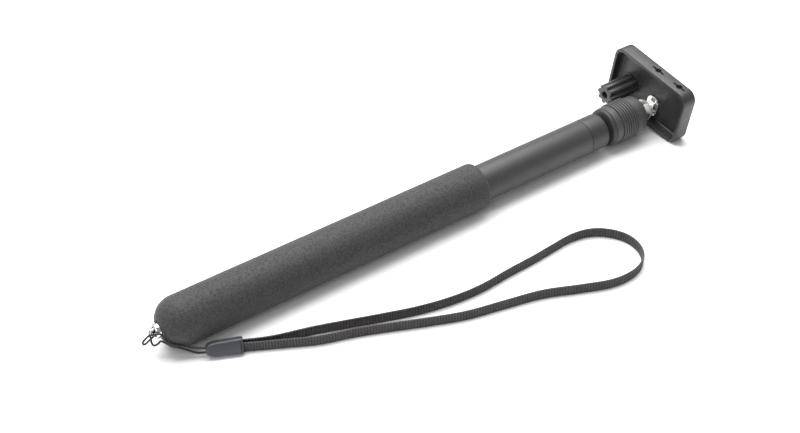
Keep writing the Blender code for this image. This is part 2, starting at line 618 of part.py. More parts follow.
STICK = new_empty("stick_axis", -ORIGIN)
HEAD = new_empty("tilt_axis", (PIVOT_X, 0, 0), STICK, (ALONG, DOWN, OUT))

make_grip()
make_eye()
last_tube_radius = make_tubes()
make_head(last_tube_radius)
make_tongue()
make_platform()
make_camera_screw()
make_strap()
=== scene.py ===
# %% [markdown]
# # A telescopic selfie stick, step by step
# The finished design is already there as plain solids: what moves, what fits, and every size.
# This lesson gives those solids their looks. It makes a finer copy of each piece that shows,
# lets the copy ride on the same moving body, and gives it a material made of nodes.
# Where a piece stands and how large it is come from its solid. Only what the plain solids
# leave out is set here: roundings, walls, threads, yarns and other small details.

# %% Load the frame
import json
import math

import bmesh
import bpy
from mathutils import Matrix, Vector, noise


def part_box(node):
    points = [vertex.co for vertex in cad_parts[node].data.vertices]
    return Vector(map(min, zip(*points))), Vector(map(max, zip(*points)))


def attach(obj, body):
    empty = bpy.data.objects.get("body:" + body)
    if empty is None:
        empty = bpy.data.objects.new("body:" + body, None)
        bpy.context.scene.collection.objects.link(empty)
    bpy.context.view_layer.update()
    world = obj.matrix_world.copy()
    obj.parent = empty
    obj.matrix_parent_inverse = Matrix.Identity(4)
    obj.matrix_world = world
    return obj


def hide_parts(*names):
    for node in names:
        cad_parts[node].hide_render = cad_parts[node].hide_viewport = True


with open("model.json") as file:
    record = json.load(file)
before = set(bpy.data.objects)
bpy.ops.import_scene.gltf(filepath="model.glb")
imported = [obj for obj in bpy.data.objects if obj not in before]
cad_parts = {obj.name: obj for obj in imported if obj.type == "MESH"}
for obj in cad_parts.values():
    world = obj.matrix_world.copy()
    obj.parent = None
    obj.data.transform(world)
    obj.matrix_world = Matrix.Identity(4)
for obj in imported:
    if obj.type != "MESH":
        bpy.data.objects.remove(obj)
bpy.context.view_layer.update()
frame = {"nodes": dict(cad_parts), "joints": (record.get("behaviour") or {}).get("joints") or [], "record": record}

# %% [markdown]
# Two sets of directions serve for the whole object. The tubes are turned about the stick's own
# axis, which lies along X. The camera platform has its own directions, because it is rolled
# a little about the stick and tilts on a pin: u runs along it, v down it, and w out of it.

# %% The stick's axis and the head's directions
joints = {joint["name"]: joint for joint in frame["joints"]}
PIVOT = Vector(joints["platform_tilt"]["pos_m"])
ALONG = Vector(joints["platform_tilt"]["axis"]).normalized()
OUT = Vector((1, 0, 0))
DOWN = OUT.cross(ALONG)
AXIS = Vector((0, PIVOT.y, PIVOT.z))
# Local Z of a turned piece runs along the stick, and its zero is the part's own zero.
STICK = Matrix.Translation(AXIS) @ Matrix(((0, 0, 1, 0), (0, 1, 0, 0), (-1, 0, 0, 0), (0, 0, 0, 1)))
HEAD = Matrix.Translation(PIVOT) @ Matrix((ALONG, DOWN, OUT)).transposed().to_4x4()


def local_box(node, place):
    """A node's lowest and highest corner in the directions of a place."""
    inward = place.inverted()
    points = [inward @ vertex.co for vertex in frame["nodes"][node].data.vertices]
    low = Vector(min(point[i] for point in points) for i in range(3))
    high = Vector(max(point[i] for point in points) for i in range(3))
    return low, high


def stations(node):
    """Where a turned node starts and ends along the stick, and its outer radius."""
    low, high = local_box(node, STICK)
    return low.z, high.z, high.y


# %% [markdown]
# ## The camera
# The stick is seen from above its wrist end, with its head further away. The camera could be
# aimed by a constraint, but two plain angles say the same and can be read at a glance:
# how far it looks down, and how far its heading is turned from +Y towards +X.

# %% Place the camera
LOOK_DOWN_DEG = 38.44
HEADING_DEG = 36.06
CAMERA_PLACE = (-0.33629, -0.43149, 0.43646)
SENSOR_MM = 36
FOCAL_MM = 58.5


def add_object(name, data):
    """A new object in the scene, holding a mesh, a light or a camera."""
    thing = bpy.data.objects.new(name, data)
    bpy.context.scene.collection.objects.link(thing)
    return thing


lens = bpy.data.cameras.new("Camera")
lens.sensor_width = SENSOR_MM
lens.lens = FOCAL_MM
camera = add_object("Camera", lens)
camera.location = CAMERA_PLACE
camera.rotation_euler = (math.radians(90 - LOOK_DOWN_DEG), 0, math.radians(-HEADING_DEG))
bpy.context.scene.camera = camera
bpy.context.scene.view_settings.view_transform = "Standard"
print("camera", round((Vector(CAMERA_PLACE) - PIVOT).length, 3), "m from the tilt pin")

# %% [markdown]
# ## Helpers for meshes
# Almost every piece here is a stack of rings: a turned tube is rings of circles, a moulded
# tray is rings of rounded rectangles, and a strap is rings along a path. One function that
# skins rings therefore makes them all. Corners are eased before the rings are made, because a
# real edge always has a small radius, and that radius is what catches the light.


# %% Rings into a skin
CREASE_DEG = 35
SOFT_CREASE_DEG = 80   # for cords and other round sections, which have no edge to keep


def skin(name, rings, loop=False, place=None, crease_deg=CREASE_DEG):
    """Joins rings of equally many points. A loop joins the last ring to the first; else both
    ends are capped."""
    count = len(rings[0])
    points = [Vector(point) for ring in rings for point in ring]
    if place is not None:
        points = [place @ point for point in points]
    faces = []
    last = len(rings) if loop else len(rings) - 1
    for row in range(last):
        here = row * count
        there = (row + 1) % len(rings) * count
        for i in range(count):
            after = (i + 1) % count
            faces.append((here + i, here + after, there + after, there + i))
    if not loop:
        faces.append(tuple(range(count)))
        faces.append(tuple(range((len(rings) - 1) * count, len(rings) * count)))
    mesh = bpy.data.meshes.new(name)
    mesh.from_pydata(points, [], faces)
    return tidy_faces(mesh, crease_deg)


def tidy_faces(mesh, crease_deg=CREASE_DEG):
    """Turns every face outwards and shades the mesh smooth, but for its creases."""
    shape = bmesh.new()
    shape.from_mesh(mesh)
    bmesh.ops.recalc_face_normals(shape, faces=shape.faces)
    shape.to_mesh(mesh)
    shape.free()
    mesh.shade_smooth()
    mesh.set_sharp_from_angle(angle=math.radians(crease_deg))
    return mesh


# %% Easing and offsetting an outline
def eased(outline, radius, steps=4, closed=True):
    """Rounds the corners of an outline of (a, b) points. Each becomes steps + 1 points."""
    result = []
    count = len(outline)
    for i, corner in enumerate(outline):
        if not closed and i in (0, count - 1):
            result.append(tuple(corner))
            continue
        corner = Vector(corner)
        before = Vector(outline[i - 1]) - corner
        after = Vector(outline[(i + 1) % count]) - corner
        reach = min(radius, before.length * 0.45, after.length * 0.45)
        start = corner + before.normalized() * reach
        end = corner + after.normalized() * reach
        for step in range(steps + 1):
            t = step / steps
            point = start * (1 - t) ** 2 + corner * (2 * t * (1 - t)) + end * t ** 2
            result.append((point.x, point.y))
    return result


def arc(radius, start_deg, end_deg, count, centre=(0, 0)):
    """Points of an arc about a centre. It also gives a rounded edge as (inset, height) levels."""
    angles = [math.radians(start_deg + (end_deg - start_deg) * i / count) for i in range(count + 1)]
    return [(centre[0] + radius * math.cos(a), centre[1] + radius * math.sin(a)) for a in angles]


def inset(outline, distance):
    """Moves a counter-clockwise outline inwards by a distance."""
    moved = []
    count = len(outline)
    for i, (x, y) in enumerate(outline):
        before = outline[i - 1]
        after = outline[(i + 1) % count]
        run = Vector((after[0] - before[0], after[1] - before[1]))
        run = run.normalized() if run.length > 0 else Vector((1, 0))
        moved.append((x - run.y * distance, y + run.x * distance))
    return moved


def rounded_rectangle(length, width, corner, steps=12, side_steps=10):
    """A rounded rectangle's outline, with points along its sides as well."""
    half_u, half_v = length / 2 - corner, width / 2 - corner
    corners = []
    for sign_u, sign_v, start in ((1, 1, 0), (-1, 1, 90), (-1, -1, 180), (1, -1, 270)):
        corners.append(arc(corner, start, start + 90, steps, (sign_u * half_u, sign_v * half_v)))
    outline = []
    for i, points in enumerate(corners):
        start, end = Vector(points[-1]), Vector(corners[(i + 1) % 4][0])
        outline += points
        outline += [tuple(start.lerp(end, k / side_steps)) for k in range(1, side_steps)]
    return outline


# %% [markdown]
# A turned piece is a profile of (station, radius) pairs carried round the axis. A moulded piece
# is one outline repeated at several levels, drawn in or out a little at each. Holes and slots
# that cut across either kind are Boolean cuts, applied at once so that the mesh is final.


# %% Turned, stacked and cut pieces
def circle(radius, station, sides):
    """A ring about local Z."""
    turns = [math.tau * i / sides for i in range(sides)]
    return [(radius * math.cos(turn), radius * math.sin(turn), station) for turn in turns]


def turned(name, profile, place, sides=96, loop=True, crease_deg=CREASE_DEG):
    """A profile of (station, radius) points carried round local Z."""
    rings = [circle(radius, station, sides) for station, radius in profile]
    return skin(name, rings, loop, place, crease_deg)


def ring_levels(outline, levels):
    """Rings of an outline in local XY, one at each level of (inset, height)."""
    return [[(x, y, height) for x, y in inset(outline, drawn_in)] for drawn_in, height in levels]


def stacked(name, outline, levels, place):
    """An outline repeated at several levels and skinned."""
    return skin(name, ring_levels(outline, levels), place=place)


def applied(base, helpers=()):
    """An object's mesh with its modifiers applied. The object and its helpers are removed."""
    graph = bpy.context.evaluated_depsgraph_get()
    result = bpy.data.meshes.new_from_object(base.evaluated_get(graph))
    for thing in [base, *helpers]:
        bpy.data.objects.remove(thing)
    return result


def combined(name, mesh, cutters=(), additions=()):
    """Takes the cutters' meshes out of a mesh and adds others to it, in one applied result."""
    base = add_object(name, mesh)
    helpers = []
    for operation, meshes in (("UNION", additions), ("DIFFERENCE", cutters)):
        for other in meshes:
            modifier = base.modifiers.new(operation, "BOOLEAN")
            modifier.operation = operation
            modifier.object = add_object("helper", other)
            helpers.append(modifier.object)
    return tidy_faces(applied(base, helpers))


def merged(name, meshes):
    """Several meshes as one, each keeping its own closed skin."""
    shape = bmesh.new()
    for mesh in meshes:
        shape.from_mesh(mesh)
    result = bpy.data.meshes.new(name)
    shape.to_mesh(result)
    shape.free()
    result.shade_smooth()
    result.set_sharp_from_angle(angle=math.radians(CREASE_DEG))
    return result


def block(low, high, place):
    """A plain box between two local corners, for cutting with."""
    outline = [(low[0], low[1]), (high[0], low[1]), (high[0], high[1]), (low[0], high[1])]
    return skin("block", [[(x, y, z) for x, y in outline] for z in (low[2], high[2])], place=place)


def rod(radius, start, end, place, sides=32, ease=0.0):
    """A plain rod about local Z, with its two rims eased if an ease is given."""
    profile = [(start, radius), (end, radius)]
    if ease:
        profile = [(start, radius - ease), (start + ease, radius), (end - ease, radius),
                   (end, radius - ease)]
        profile = eased(profile, ease * 0.8, 2, closed=False)
    return turned("rod", profile, place, sides, loop=False)


# %% [markdown]
# Each finished piece is made the same way: it gets the material of its finish slot, rides on the
# body that its solid belongs to, and hides that solid.


# %% Making a finished piece
BODY_OF = {node: body for body, nodes in frame["record"]["behaviour"]["bodies"].items() for node in nodes}
SLOT_OF = {part["node"]: part["material_slot"] for part in frame["record"]["subparts"]}
MATERIALS = {}


def finished(name, mesh, node, finish=None):
    """Makes an object of a mesh, in place of one solid of the design."""
    piece = add_object(name, mesh)
    mesh.materials.clear()
    mesh.materials.append(MATERIALS[finish or SLOT_OF[node]])
    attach(piece, BODY_OF[node])
    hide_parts(node)
    print(f"{name}: {len(mesh.polygons)} faces, rides on {BODY_OF[node]}")
    return piece


def finish_turned(name, node, profile, place=STICK, sides=160, loop=True):
    """Turns a profile and makes it a finished piece, which is all that a plain turned part needs."""
    return finished(name, turned(name, profile, place, sides, loop), node)


# %% [markdown]
# ## Shared effects
# Three effects turn up in more than one finish, so each is a node group with named sockets.
# *Pebble* is the fine leathery grain of a foam grip and, smaller, of a spark-eroded mould.
# *Handling* is the slow change of gloss that fingers leave, with a few specks of dust.
# *Rubbed edges* is a mask that is strong on convex edges, where a finish wears first.


# %% Node-group helpers
def new_group(name, inputs, outputs):
    """An empty node group. Inputs are (name, kind, default), outputs (name, kind)."""
    group = bpy.data.node_groups.new(name, "ShaderNodeTree")
    for label, kind, default in inputs:
        socket = group.interface.new_socket(label, in_out="INPUT", socket_type="NodeSocket" + kind)
        socket.default_value = default
    for label, kind in outputs:
        group.interface.new_socket(label, in_out="OUTPUT", socket_type="NodeSocket" + kind)
    return group, group.nodes.new("NodeGroupInput"), group.nodes.new("NodeGroupOutput")


def add_node(tree, kind, settings=None, **links):
    """A node with its settings. Its sockets are given by name, or as _0, _1 by number, and each
    gets a value or a link from another socket."""
    node = tree.nodes.new("ShaderNode" + kind)
    for key, value in (settings or {}).items():
        setattr(node, key, value)
    for label, value in links.items():
        key = int(label[1:]) if label[0] == "_" and label[1:].isdigit() else label.replace("_", " ")
        socket = node.inputs[key]
        if isinstance(value, bpy.types.NodeSocket):
            tree.links.new(value, socket)
        else:
            socket.default_value = value
    return node


def maths(tree, operation, first, second=0.0):
    """One Math node's output."""
    return add_node(tree, "Math", {"operation": operation}, _0=first, _1=second).outputs[0]


def ramp(tree, value, low, high, start=0.0, end=1.0):
    """A value carried from the range low..high to start..end, clamped."""
    node = add_node(tree, "MapRange", {"clamp": True}, Value=value, From_Min=low, From_Max=high,
                    To_Min=start, To_Max=end)
    return node.outputs[0]


# %% [markdown]
# The pebble grain could be one Voronoi texture, but that looks like lizard skin. Real foamed
# rubber has cells of several sizes, so a coarse and a fine Voronoi are laid over each other and
# both are bent a little by noise first.


# %% Pebble grain
def make_pebble():
    """Height of the grain, and a mask of its hollows."""
    group, given, result = new_group(
        "Pebble",
        [("Cell size", "Float", 0.001), ("Fineness", "Float", 0.5)],
        [("Height", "Float"), ("Hollow", "Float")])
    place = add_node(group, "TexCoord").outputs["Object"]
    scale = maths(group, "DIVIDE", 1.0, given.outputs["Cell size"])
    bend = add_node(group, "TexNoise", {"noise_dimensions": "3D"}, Vector=place,
                    Scale=scale, Detail=1.0)
    shift = add_node(group, "VectorMath", {"operation": "SUBTRACT"}, _0=bend.outputs["Color"],
                     _1=(0.5, 0.5, 0.5))
    amount = maths(group, "MULTIPLY", given.outputs["Cell size"], 0.7)
    shifted = add_node(group, "VectorMath", {"operation": "SCALE"}, _0=shift.outputs[0], Scale=amount)
    bent = add_node(group, "VectorMath", {"operation": "ADD"}, _0=place, _1=shifted.outputs[0])
    coarse = add_node(group, "TexVoronoi", {"feature": "SMOOTH_F1"}, Vector=bent.outputs[0],
                      Scale=scale, Smoothness=0.35)
    fine_scale = maths(group, "MULTIPLY", scale, 2.6)
    fine = add_node(group, "TexVoronoi", {"feature": "SMOOTH_F1"}, Vector=bent.outputs[0],
                    Scale=fine_scale, Smoothness=0.3)
    low = ramp(group, coarse.outputs["Distance"], 0.1, 0.75, 1.0, 0.0)
    high = ramp(group, fine.outputs["Distance"], 0.1, 0.8, 1.0, 0.0)
    mix = add_node(group, "Mix", {"data_type": "FLOAT"}, _0=given.outputs["Fineness"], _2=low, _3=high)
    hollow = ramp(group, mix.outputs[0], 0.15, 0.55, 1.0, 0.0)
    group.links.new(mix.outputs[0], result.inputs["Height"])
    group.links.new(hollow, result.inputs["Hollow"])
    return group


# %% Handling marks and rubbed edges
def make_handling():
    """A slow change of gloss from -1 to 1, and a mask of rare dust specks."""
    group, given, result = new_group(
        "Handling",
        [("Smear size", "Float", 0.02), ("Dust", "Float", 0.3)],
        [("Gloss change", "Float"), ("Dust mask", "Float")])
    place = add_node(group, "TexCoord").outputs["Object"]
    scale = maths(group, "DIVIDE", 1.0, given.outputs["Smear size"])
    smear = add_node(group, "TexNoise", Vector=place, Scale=scale, Detail=5.0, Roughness=0.62)
    change = ramp(group, smear.outputs[0], 0.3, 0.7, -1.0, 1.0)
    specks = add_node(group, "TexVoronoi", Vector=place, Scale=900.0, Randomness=1.0)
    near = ramp(group, specks.outputs["Distance"], 0.05, 0.16, 1.0, 0.0)
    rare = add_node(group, "TexNoise", Vector=place, Scale=420.0, Detail=1.0)
    kept = ramp(group, rare.outputs[0], 0.58, 0.66)
    dust = maths(group, "MULTIPLY", maths(group, "MULTIPLY", near, kept), given.outputs["Dust"])
    group.links.new(change, result.inputs["Gloss change"])
    group.links.new(dust, result.inputs["Dust mask"])
    return group


def make_rubbed_edges():
    """A broken mask along convex edges. Spread says how sharp an edge must be for the full mask."""
    group, given, result = new_group(
        "Rubbed edges",
        [("Spread", "Float", 0.03)],
        [("Mask", "Float")])
    place = add_node(group, "TexCoord").outputs["Object"]
    bend = add_node(group, "NewGeometry").outputs["Pointiness"]
    top = maths(group, "ADD", given.outputs["Spread"], 0.51)
    edge = ramp(group, bend, 0.51, top)
    patches = add_node(group, "TexNoise", Vector=place, Scale=260.0, Detail=4.0, Roughness=0.6)
    broken = ramp(group, patches.outputs[0], 0.38, 0.62)
    group.links.new(maths(group, "MULTIPLY", edge, broken), result.inputs["Mask"])
    return group


PEBBLE = make_pebble()
HANDLING = make_handling()
RUBBED = make_rubbed_edges()
print("node groups:", [group.name for group in bpy.data.node_groups])

# %% [markdown]
# ## The finishes
# A finish starts as a Principled shader with its plain values on its own sockets. What varies
# over the surface then comes in through Base Color, Roughness and a Bump node.


# %% Finish helpers
def new_finish(slot, color, roughness, metallic=0.0):
    """A material for a slot of the record, and its tree and shader."""
    material = bpy.data.materials.new(slot)
    material.use_nodes = True
    tree = material.node_tree
    shader = tree.nodes["Principled BSDF"]
    shader.inputs["Base Color"].default_value = (*color, 1)
    shader.inputs["Roughness"].default_value = roughness
    shader.inputs["Metallic"].default_value = metallic
    MATERIALS[slot] = material
    return tree, shader


def place_group(tree, group, **values):
    """A node group in a tree, with values for its inputs."""
    node = tree.nodes.new("ShaderNodeGroup")
    node.node_tree = group
    for label, value in values.items():
        node.inputs[label.replace("_", " ")].default_value = value
    return node


def blend_color(tree, mask, first, second):
    """Two colours mixed by a mask."""
    node = add_node(tree, "Mix", {"data_type": "RGBA"}, _0=mask)
    for index, color in ((6, first), (7, second)):
        if isinstance(color, bpy.types.NodeSocket):
            tree.links.new(color, node.inputs[index])
        else:
            node.inputs[index].default_value = (*color, 1)
    return node.outputs[2]


def bumped(tree, shader, height, depth):
    """Lets a height raise the surface by a depth in metres."""
    bump = add_node(tree, "Bump", Height=height, Distance=depth, Strength=1.0)
    tree.links.new(bump.outputs[0], shader.inputs["Normal"])


def moulded(slot, color, roughness, cell=0.0004, depth=0.00002, worn=0.35):
    """Moulded plastic: mould grain, slow gloss changes, dust, and slightly paler edges."""
    tree, shader = new_finish(slot, color, roughness)
    pebble = place_group(tree, PEBBLE, Cell_size=cell, Fineness=0.4)
    marks = place_group(tree, HANDLING, Smear_size=0.014, Dust=0.3)
    edges = place_group(tree, RUBBED, Spread=0.05)
    lighter = tuple(min(1, c * 2.1 + 0.012) for c in color)
    worn_mask = maths(tree, "MULTIPLY", edges.outputs["Mask"], worn)
    base = blend_color(tree, worn_mask, color, lighter)
    dusty = blend_color(tree, marks.outputs["Dust mask"], base, (0.32, 0.31, 0.30))
    tree.links.new(dusty, shader.inputs["Base Color"])
    change = maths(tree, "MULTIPLY", marks.outputs["Gloss change"], roughness * 0.16)
    tree.links.new(maths(tree, "ADD", change, roughness), shader.inputs["Roughness"])
    bumped(tree, shader, pebble.outputs["Height"], depth)


# %% [markdown]
# The foam grip is the largest surface. Foamed rubber is matt and charcoal rather than black.
# Its pebbles get paler tops and darker hollows, which is painted shade in the grain's hollows.
# Its sheen is low and wide, so it carries a little Sheen as well as a high roughness. The
# platform's pad is solid rubber, which is nearer to a dull moulded plastic, so it is made by the
# plastics' recipe with a coarser grain.


# %% Foam and rubber
def make_foam():
    tree, shader = new_finish("foam_grip", (0.05, 0.05, 0.052), 0.7)
    pebble = place_group(tree, PEBBLE, Cell_size=0.0011, Fineness=0.45)
    marks = place_group(tree, HANDLING, Smear_size=0.03, Dust=0.35)
    # painted shade: the grain's hollows get the darker colour, its tops the paler one
    base = blend_color(tree, pebble.outputs["Hollow"], (0.031, 0.031, 0.032), (0.014, 0.014, 0.0145))
    cloud = ramp(tree, marks.outputs["Gloss change"], -1.0, 1.0, 0.0, 0.35)
    uneven = blend_color(tree, cloud, base, (0.039, 0.039, 0.040))
    dusty = blend_color(tree, marks.outputs["Dust mask"], uneven, (0.3, 0.3, 0.29))
    tree.links.new(dusty, shader.inputs["Base Color"])
    gloss = ramp(tree, pebble.outputs["Height"], 0.2, 0.9, 0.8, 0.56)
    tree.links.new(gloss, shader.inputs["Roughness"])
    shader.inputs["Sheen Weight"].default_value = 0.06
    shader.inputs["Sheen Roughness"].default_value = 0.6
    bumped(tree, shader, pebble.outputs["Height"], 0.00011)


make_foam()
moulded("pad_rubber", (0.018, 0.018, 0.018), 0.72, cell=0.0006, depth=0.00003, worn=0.2)
print("soft finishes:", sorted(MATERIALS))

# %% [markdown]
# The stick's own plastics differ only in colour, gloss and grain, so one recipe serves them
# all. The lock collar is greyer and satin, the knob is the glossiest, and the strap's connector
# has a cool blue-grey cast. One of them is no plastic of its own: the near-black finish for the
# inside of a deep hole is painted shade, for a place where hardly any light comes back out.

# %% Plastics
moulded("black_plastic", (0.028, 0.028, 0.029), 0.48)
moulded("collar_plastic", (0.044, 0.044, 0.045), 0.48, cell=0.0005, depth=0.000018)
moulded("platform_plastic", (0.026, 0.025, 0.027), 0.4, cell=0.00045, depth=0.000022)
moulded("knob_plastic", (0.034, 0.034, 0.036), 0.33, cell=0.0005, depth=0.000012)
# painted shade: a near-black colour for the insides of deep holes
moulded("painted_hole_shade", (0.004, 0.004, 0.004), 0.7)
moulded("connector_plastic", (0.034, 0.038, 0.045), 0.38, cell=0.0005, depth=0.000014)
print("finishes so far:", sorted(MATERIALS))

# %% [markdown]
# The tubes are drawn aluminium. The handle tube is painted or anodised a satin black, which
# still shows the long faint lines of drawing, so its noise is stretched along the stick.
# The inner ones are bare and brighter, and the same lines make their highlights streaky.
# The small fittings are plated, and a mirror-like plating shows a dark room as much as a bright
# one. The post is cast and only dully plated: it scatters more light than it mirrors and looks
# nearly white, so its Metallic is low although it is metal.


# %% Metals
def drawn_tube(slot, color, roughness, metallic, depth):
    """Drawn metal: fine lines along X in its gloss, its shade and its surface."""
    tree, shader = new_finish(slot, color, roughness, metallic)
    place = add_node(tree, "TexCoord").outputs["Object"]
    stretch = add_node(tree, "Mapping", Vector=place, Scale=(18.0, 2600.0, 2600.0))
    lines = add_node(tree, "TexNoise", Vector=stretch.outputs[0], Scale=1.0, Detail=4.0)
    marks = place_group(tree, HANDLING, Smear_size=0.022, Dust=0.25)
    streak = ramp(tree, lines.outputs[0], 0.3, 0.7, -0.5, 0.5)
    both = maths(tree, "ADD", streak, marks.outputs["Gloss change"])
    change = maths(tree, "MULTIPLY", both, roughness * 0.13)
    tree.links.new(maths(tree, "ADD", change, roughness), shader.inputs["Roughness"])
    lighter = tuple(min(1, c * 1.15 + 0.003) for c in color)
    base = blend_color(tree, ramp(tree, lines.outputs[0], 0.3, 0.7), color, lighter)
    dusty = blend_color(tree, marks.outputs["Dust mask"], base, (0.35, 0.35, 0.34))
    tree.links.new(dusty, shader.inputs["Base Color"])
    bumped(tree, shader, lines.outputs[0], depth)


def plated(slot, color, roughness, metallic=1.0):
    """Polished or plated metal: nearly clean, with faint smears and a slight orange peel."""
    tree, shader = new_finish(slot, color, roughness, metallic)
    marks = place_group(tree, HANDLING, Smear_size=0.006, Dust=0.1)
    place = add_node(tree, "TexCoord").outputs["Object"]
    peel = add_node(tree, "TexNoise", Vector=place, Scale=700.0, Detail=1.0)
    change = maths(tree, "MULTIPLY", marks.outputs["Gloss change"], roughness * 0.35)
    tree.links.new(maths(tree, "ADD", change, roughness), shader.inputs["Roughness"])
    deeper = tuple(c * 0.86 for c in color)
    tree.links.new(blend_color(tree, ramp(tree, peel.outputs[0], 0.35, 0.65), color, deeper),
                   shader.inputs["Base Color"])
    bumped(tree, shader, peel.outputs[0], 0.000006)


drawn_tube("tube_black", (0.036, 0.036, 0.037), 0.5, 0.1, 0.0000025)
drawn_tube("tube_silver", (0.62, 0.62, 0.63), 0.26, 1.0, 0.000003)
plated("chrome", (0.83, 0.82, 0.80), 0.07)
plated("cast_nickel", (0.93, 0.92, 0.89), 0.3, metallic=0.25)
plated("steel", (0.55, 0.55, 0.56), 0.28)
plated("brass", (0.72, 0.53, 0.25), 0.25)
print("with the metals:", len(MATERIALS), "finishes")

# %% [markdown]
# ## Strap and thin cord finishes
# The yarns themselves are modelled below, so these finishes only add what is finer than a
# yarn: the filaments along it, a slight change of shade from yarn to yarn, and the soft sheen
# of nylon. The hollows between the strap's yarns, which the mesh marks with a height of its
# own, get a darker painted shade, for the light that is lost between real fibres. Its black is a
# little violet.


# %% Textiles
def textile(slot, color, dark, roughness, filament_scale, sheen, gap_shade=None):
    """Nylon yarn in two shades. A painted shade colour goes where the mesh's yarn_height is low."""
    tree, shader = new_finish(slot, color, roughness)
    place = add_node(tree, "TexCoord").outputs["Object"]
    fibres = add_node(tree, "TexNoise", Vector=place, Scale=filament_scale, Detail=3.0, Roughness=0.7)
    shade = add_node(tree, "TexNoise", Vector=place, Scale=240.0, Detail=2.0)
    mottled = blend_color(tree, ramp(tree, shade.outputs[0], 0.35, 0.65), color, dark)
    lighter = tuple(min(1, c * 1.7) for c in color)
    base = blend_color(tree, ramp(tree, fibres.outputs[0], 0.5, 0.75, 0.0, 0.6), mottled, lighter)
    if gap_shade:
        stand = add_node(tree, "Attribute", {"attribute_name": "yarn_height"}).outputs["Fac"]
        # painted shade: a darker colour in the hollows between the yarns
        base = blend_color(tree, ramp(tree, stand, 0.1, 0.75), gap_shade, base)
    tree.links.new(base, shader.inputs["Base Color"])
    tree.links.new(ramp(tree, fibres.outputs[0], 0.3, 0.7, roughness + 0.1, roughness - 0.12),
                   shader.inputs["Roughness"])
    shader.inputs["Sheen Weight"].default_value = sheen
    shader.inputs["Sheen Roughness"].default_value = 0.4
    bumped(tree, shader, fibres.outputs[0], 0.00003)


textile("strap_webbing", (0.078, 0.069, 0.073), (0.050, 0.043, 0.046), 0.62, 5200.0, 0.12,
        gap_shade=(0.005, 0.004, 0.005))
textile("thin_cord", (0.018, 0.017, 0.017), (0.010, 0.010, 0.010), 0.5, 6500.0, 0.1)

# %% [markdown]
# ## The wrist strap
# The strap is one flat braid folded into a loop. It leaves the connector, stands on its edge on
# the table, swings round at its far end and comes back to the connector. Its route is a list of
# points with a smooth curve through them. It is the design's route, except that each
# end of the strap and of the thin cord reaches a millimetre further into the connector.


# %% Routes of the strap and the thin cord
PIN_FROM_ZERO = 0.1735   # the tilt pin's station from the zero that the routes count from
ZERO = Vector((PIVOT.x - PIN_FROM_ZERO, AXIS.y, AXIS.z))
STRAP_WIDTH = 0.0058
STRAP_THICKNESS = 0.0012
CORD_DIAMETER = 0.0011
STRAP_ROUTE = [
    (-0.1096, -0.0219), (-0.0960, -0.0282), (-0.0775, -0.0340), (-0.0620, -0.0398),
    (-0.0454, -0.0462), (-0.0280, -0.0524), (-0.0100, -0.0566), (0.0080, -0.0582),
    (0.0260, -0.0572), (0.0440, -0.0566), (0.0580, -0.0556), (0.0710, -0.0550),
    (0.0820, -0.0574), (0.0900, -0.0636), (0.0946, -0.0724), (0.0942, -0.0820),
    (0.0886, -0.0904), (0.0780, -0.0948), (0.0640, -0.0940), (0.0480, -0.0876),
    (0.0300, -0.0796), (0.0100, -0.0744), (-0.0100, -0.0694), (-0.0280, -0.0622),
    (-0.0460, -0.0540), (-0.0620, -0.0472), (-0.0780, -0.0416), (-0.0920, -0.0342),
    (-0.1106, -0.0240),
]
CORD_ROUTE = [
    (-0.1252, -0.0166, -0.0080), (-0.1289, -0.0148, -0.0073), (-0.1320, -0.0129, -0.0066),
    (-0.1347, -0.0118, -0.0050), (-0.1371, -0.0107, -0.0042), (-0.1395, -0.0086, -0.0035),
    (-0.1412, -0.0064, -0.0014), (-0.1420, -0.00565, 0.0011), (-0.1426, -0.0050, 0.0020),
    (-0.1440, -0.0041, 0.0018), (-0.1452, -0.0026, 0.0012), (-0.1468, -0.0010, -0.0001),
    (-0.1483, 0.0000, -0.0020), (-0.1495, 0.0003, -0.0034), (-0.1498, -0.0003, -0.0043),
    (-0.1490, -0.0010, -0.0040), (-0.1471, -0.0018, -0.0020), (-0.14495, -0.0024, -0.0001),
    (-0.14385, 0.0000, 0.0000), (-0.1447, 0.0019, -0.0006), (-0.1452, 0.0016, -0.0023),
    (-0.1452, 0.0006, -0.0039), (-0.1455, 0.0002, -0.0059), (-0.1450, -0.0013, -0.0070),
    (-0.1435, -0.0029, -0.0054), (-0.1424, -0.0037, -0.0038), (-0.1412, -0.0053, -0.0040),
    (-0.1392, -0.0084, -0.0051), (-0.1369, -0.0103, -0.0059), (-0.1339, -0.0110, -0.0082),
    (-0.1312, -0.0125, -0.0100), (-0.1287, -0.0147, -0.0106), (-0.1248, -0.0171, -0.0102),
]
ROUTE_STEP = 0.0003
CURVE_STEPS = 24   # between two given points


def smooth_route(points, spacing):
    """Evenly spaced points on a Catmull-Rom curve through given ones, and their length."""
    ends = [2 * points[0] - points[1], *points, 2 * points[-1] - points[-2]]
    fine = []
    for before, start, end, after in zip(ends, ends[1:], ends[2:], ends[3:]):
        for i in range(CURVE_STEPS):
            t = i / CURVE_STEPS
            fine.append(0.5 * (2 * start + (end - before) * t
                               + (2 * before - 5 * start + 4 * end - after) * t * t
                               + (3 * start - before - 3 * end + after) * t ** 3))
    fine.append(points[-1])
    travelled = [0.0]
    for start, end in zip(fine, fine[1:]):
        travelled.append(travelled[-1] + (end - start).length)
    count = round(travelled[-1] / spacing) + 1
    route = []
    step = 0
    for i in range(count):
        wanted = travelled[-1] * i / (count - 1)
        while step < len(fine) - 2 and travelled[step + 1] < wanted:
            step += 1
        part = (wanted - travelled[step]) / (travelled[step + 1] - travelled[step])
        route.append(fine[step].lerp(fine[step + 1], part))
    return route, travelled[-1]


strap_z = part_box("wrist_strap")[0].z - ZERO.z + STRAP_WIDTH / 2
strap_points = [ZERO + Vector((x, y, strap_z)) for x, y in STRAP_ROUTE]
cord_points = [ZERO + Vector(point) for point in CORD_ROUTE]
strap_path, strap_length = smooth_route(strap_points, ROUTE_STEP)
cord_path, cord_length = smooth_route(cord_points, ROUTE_STEP)

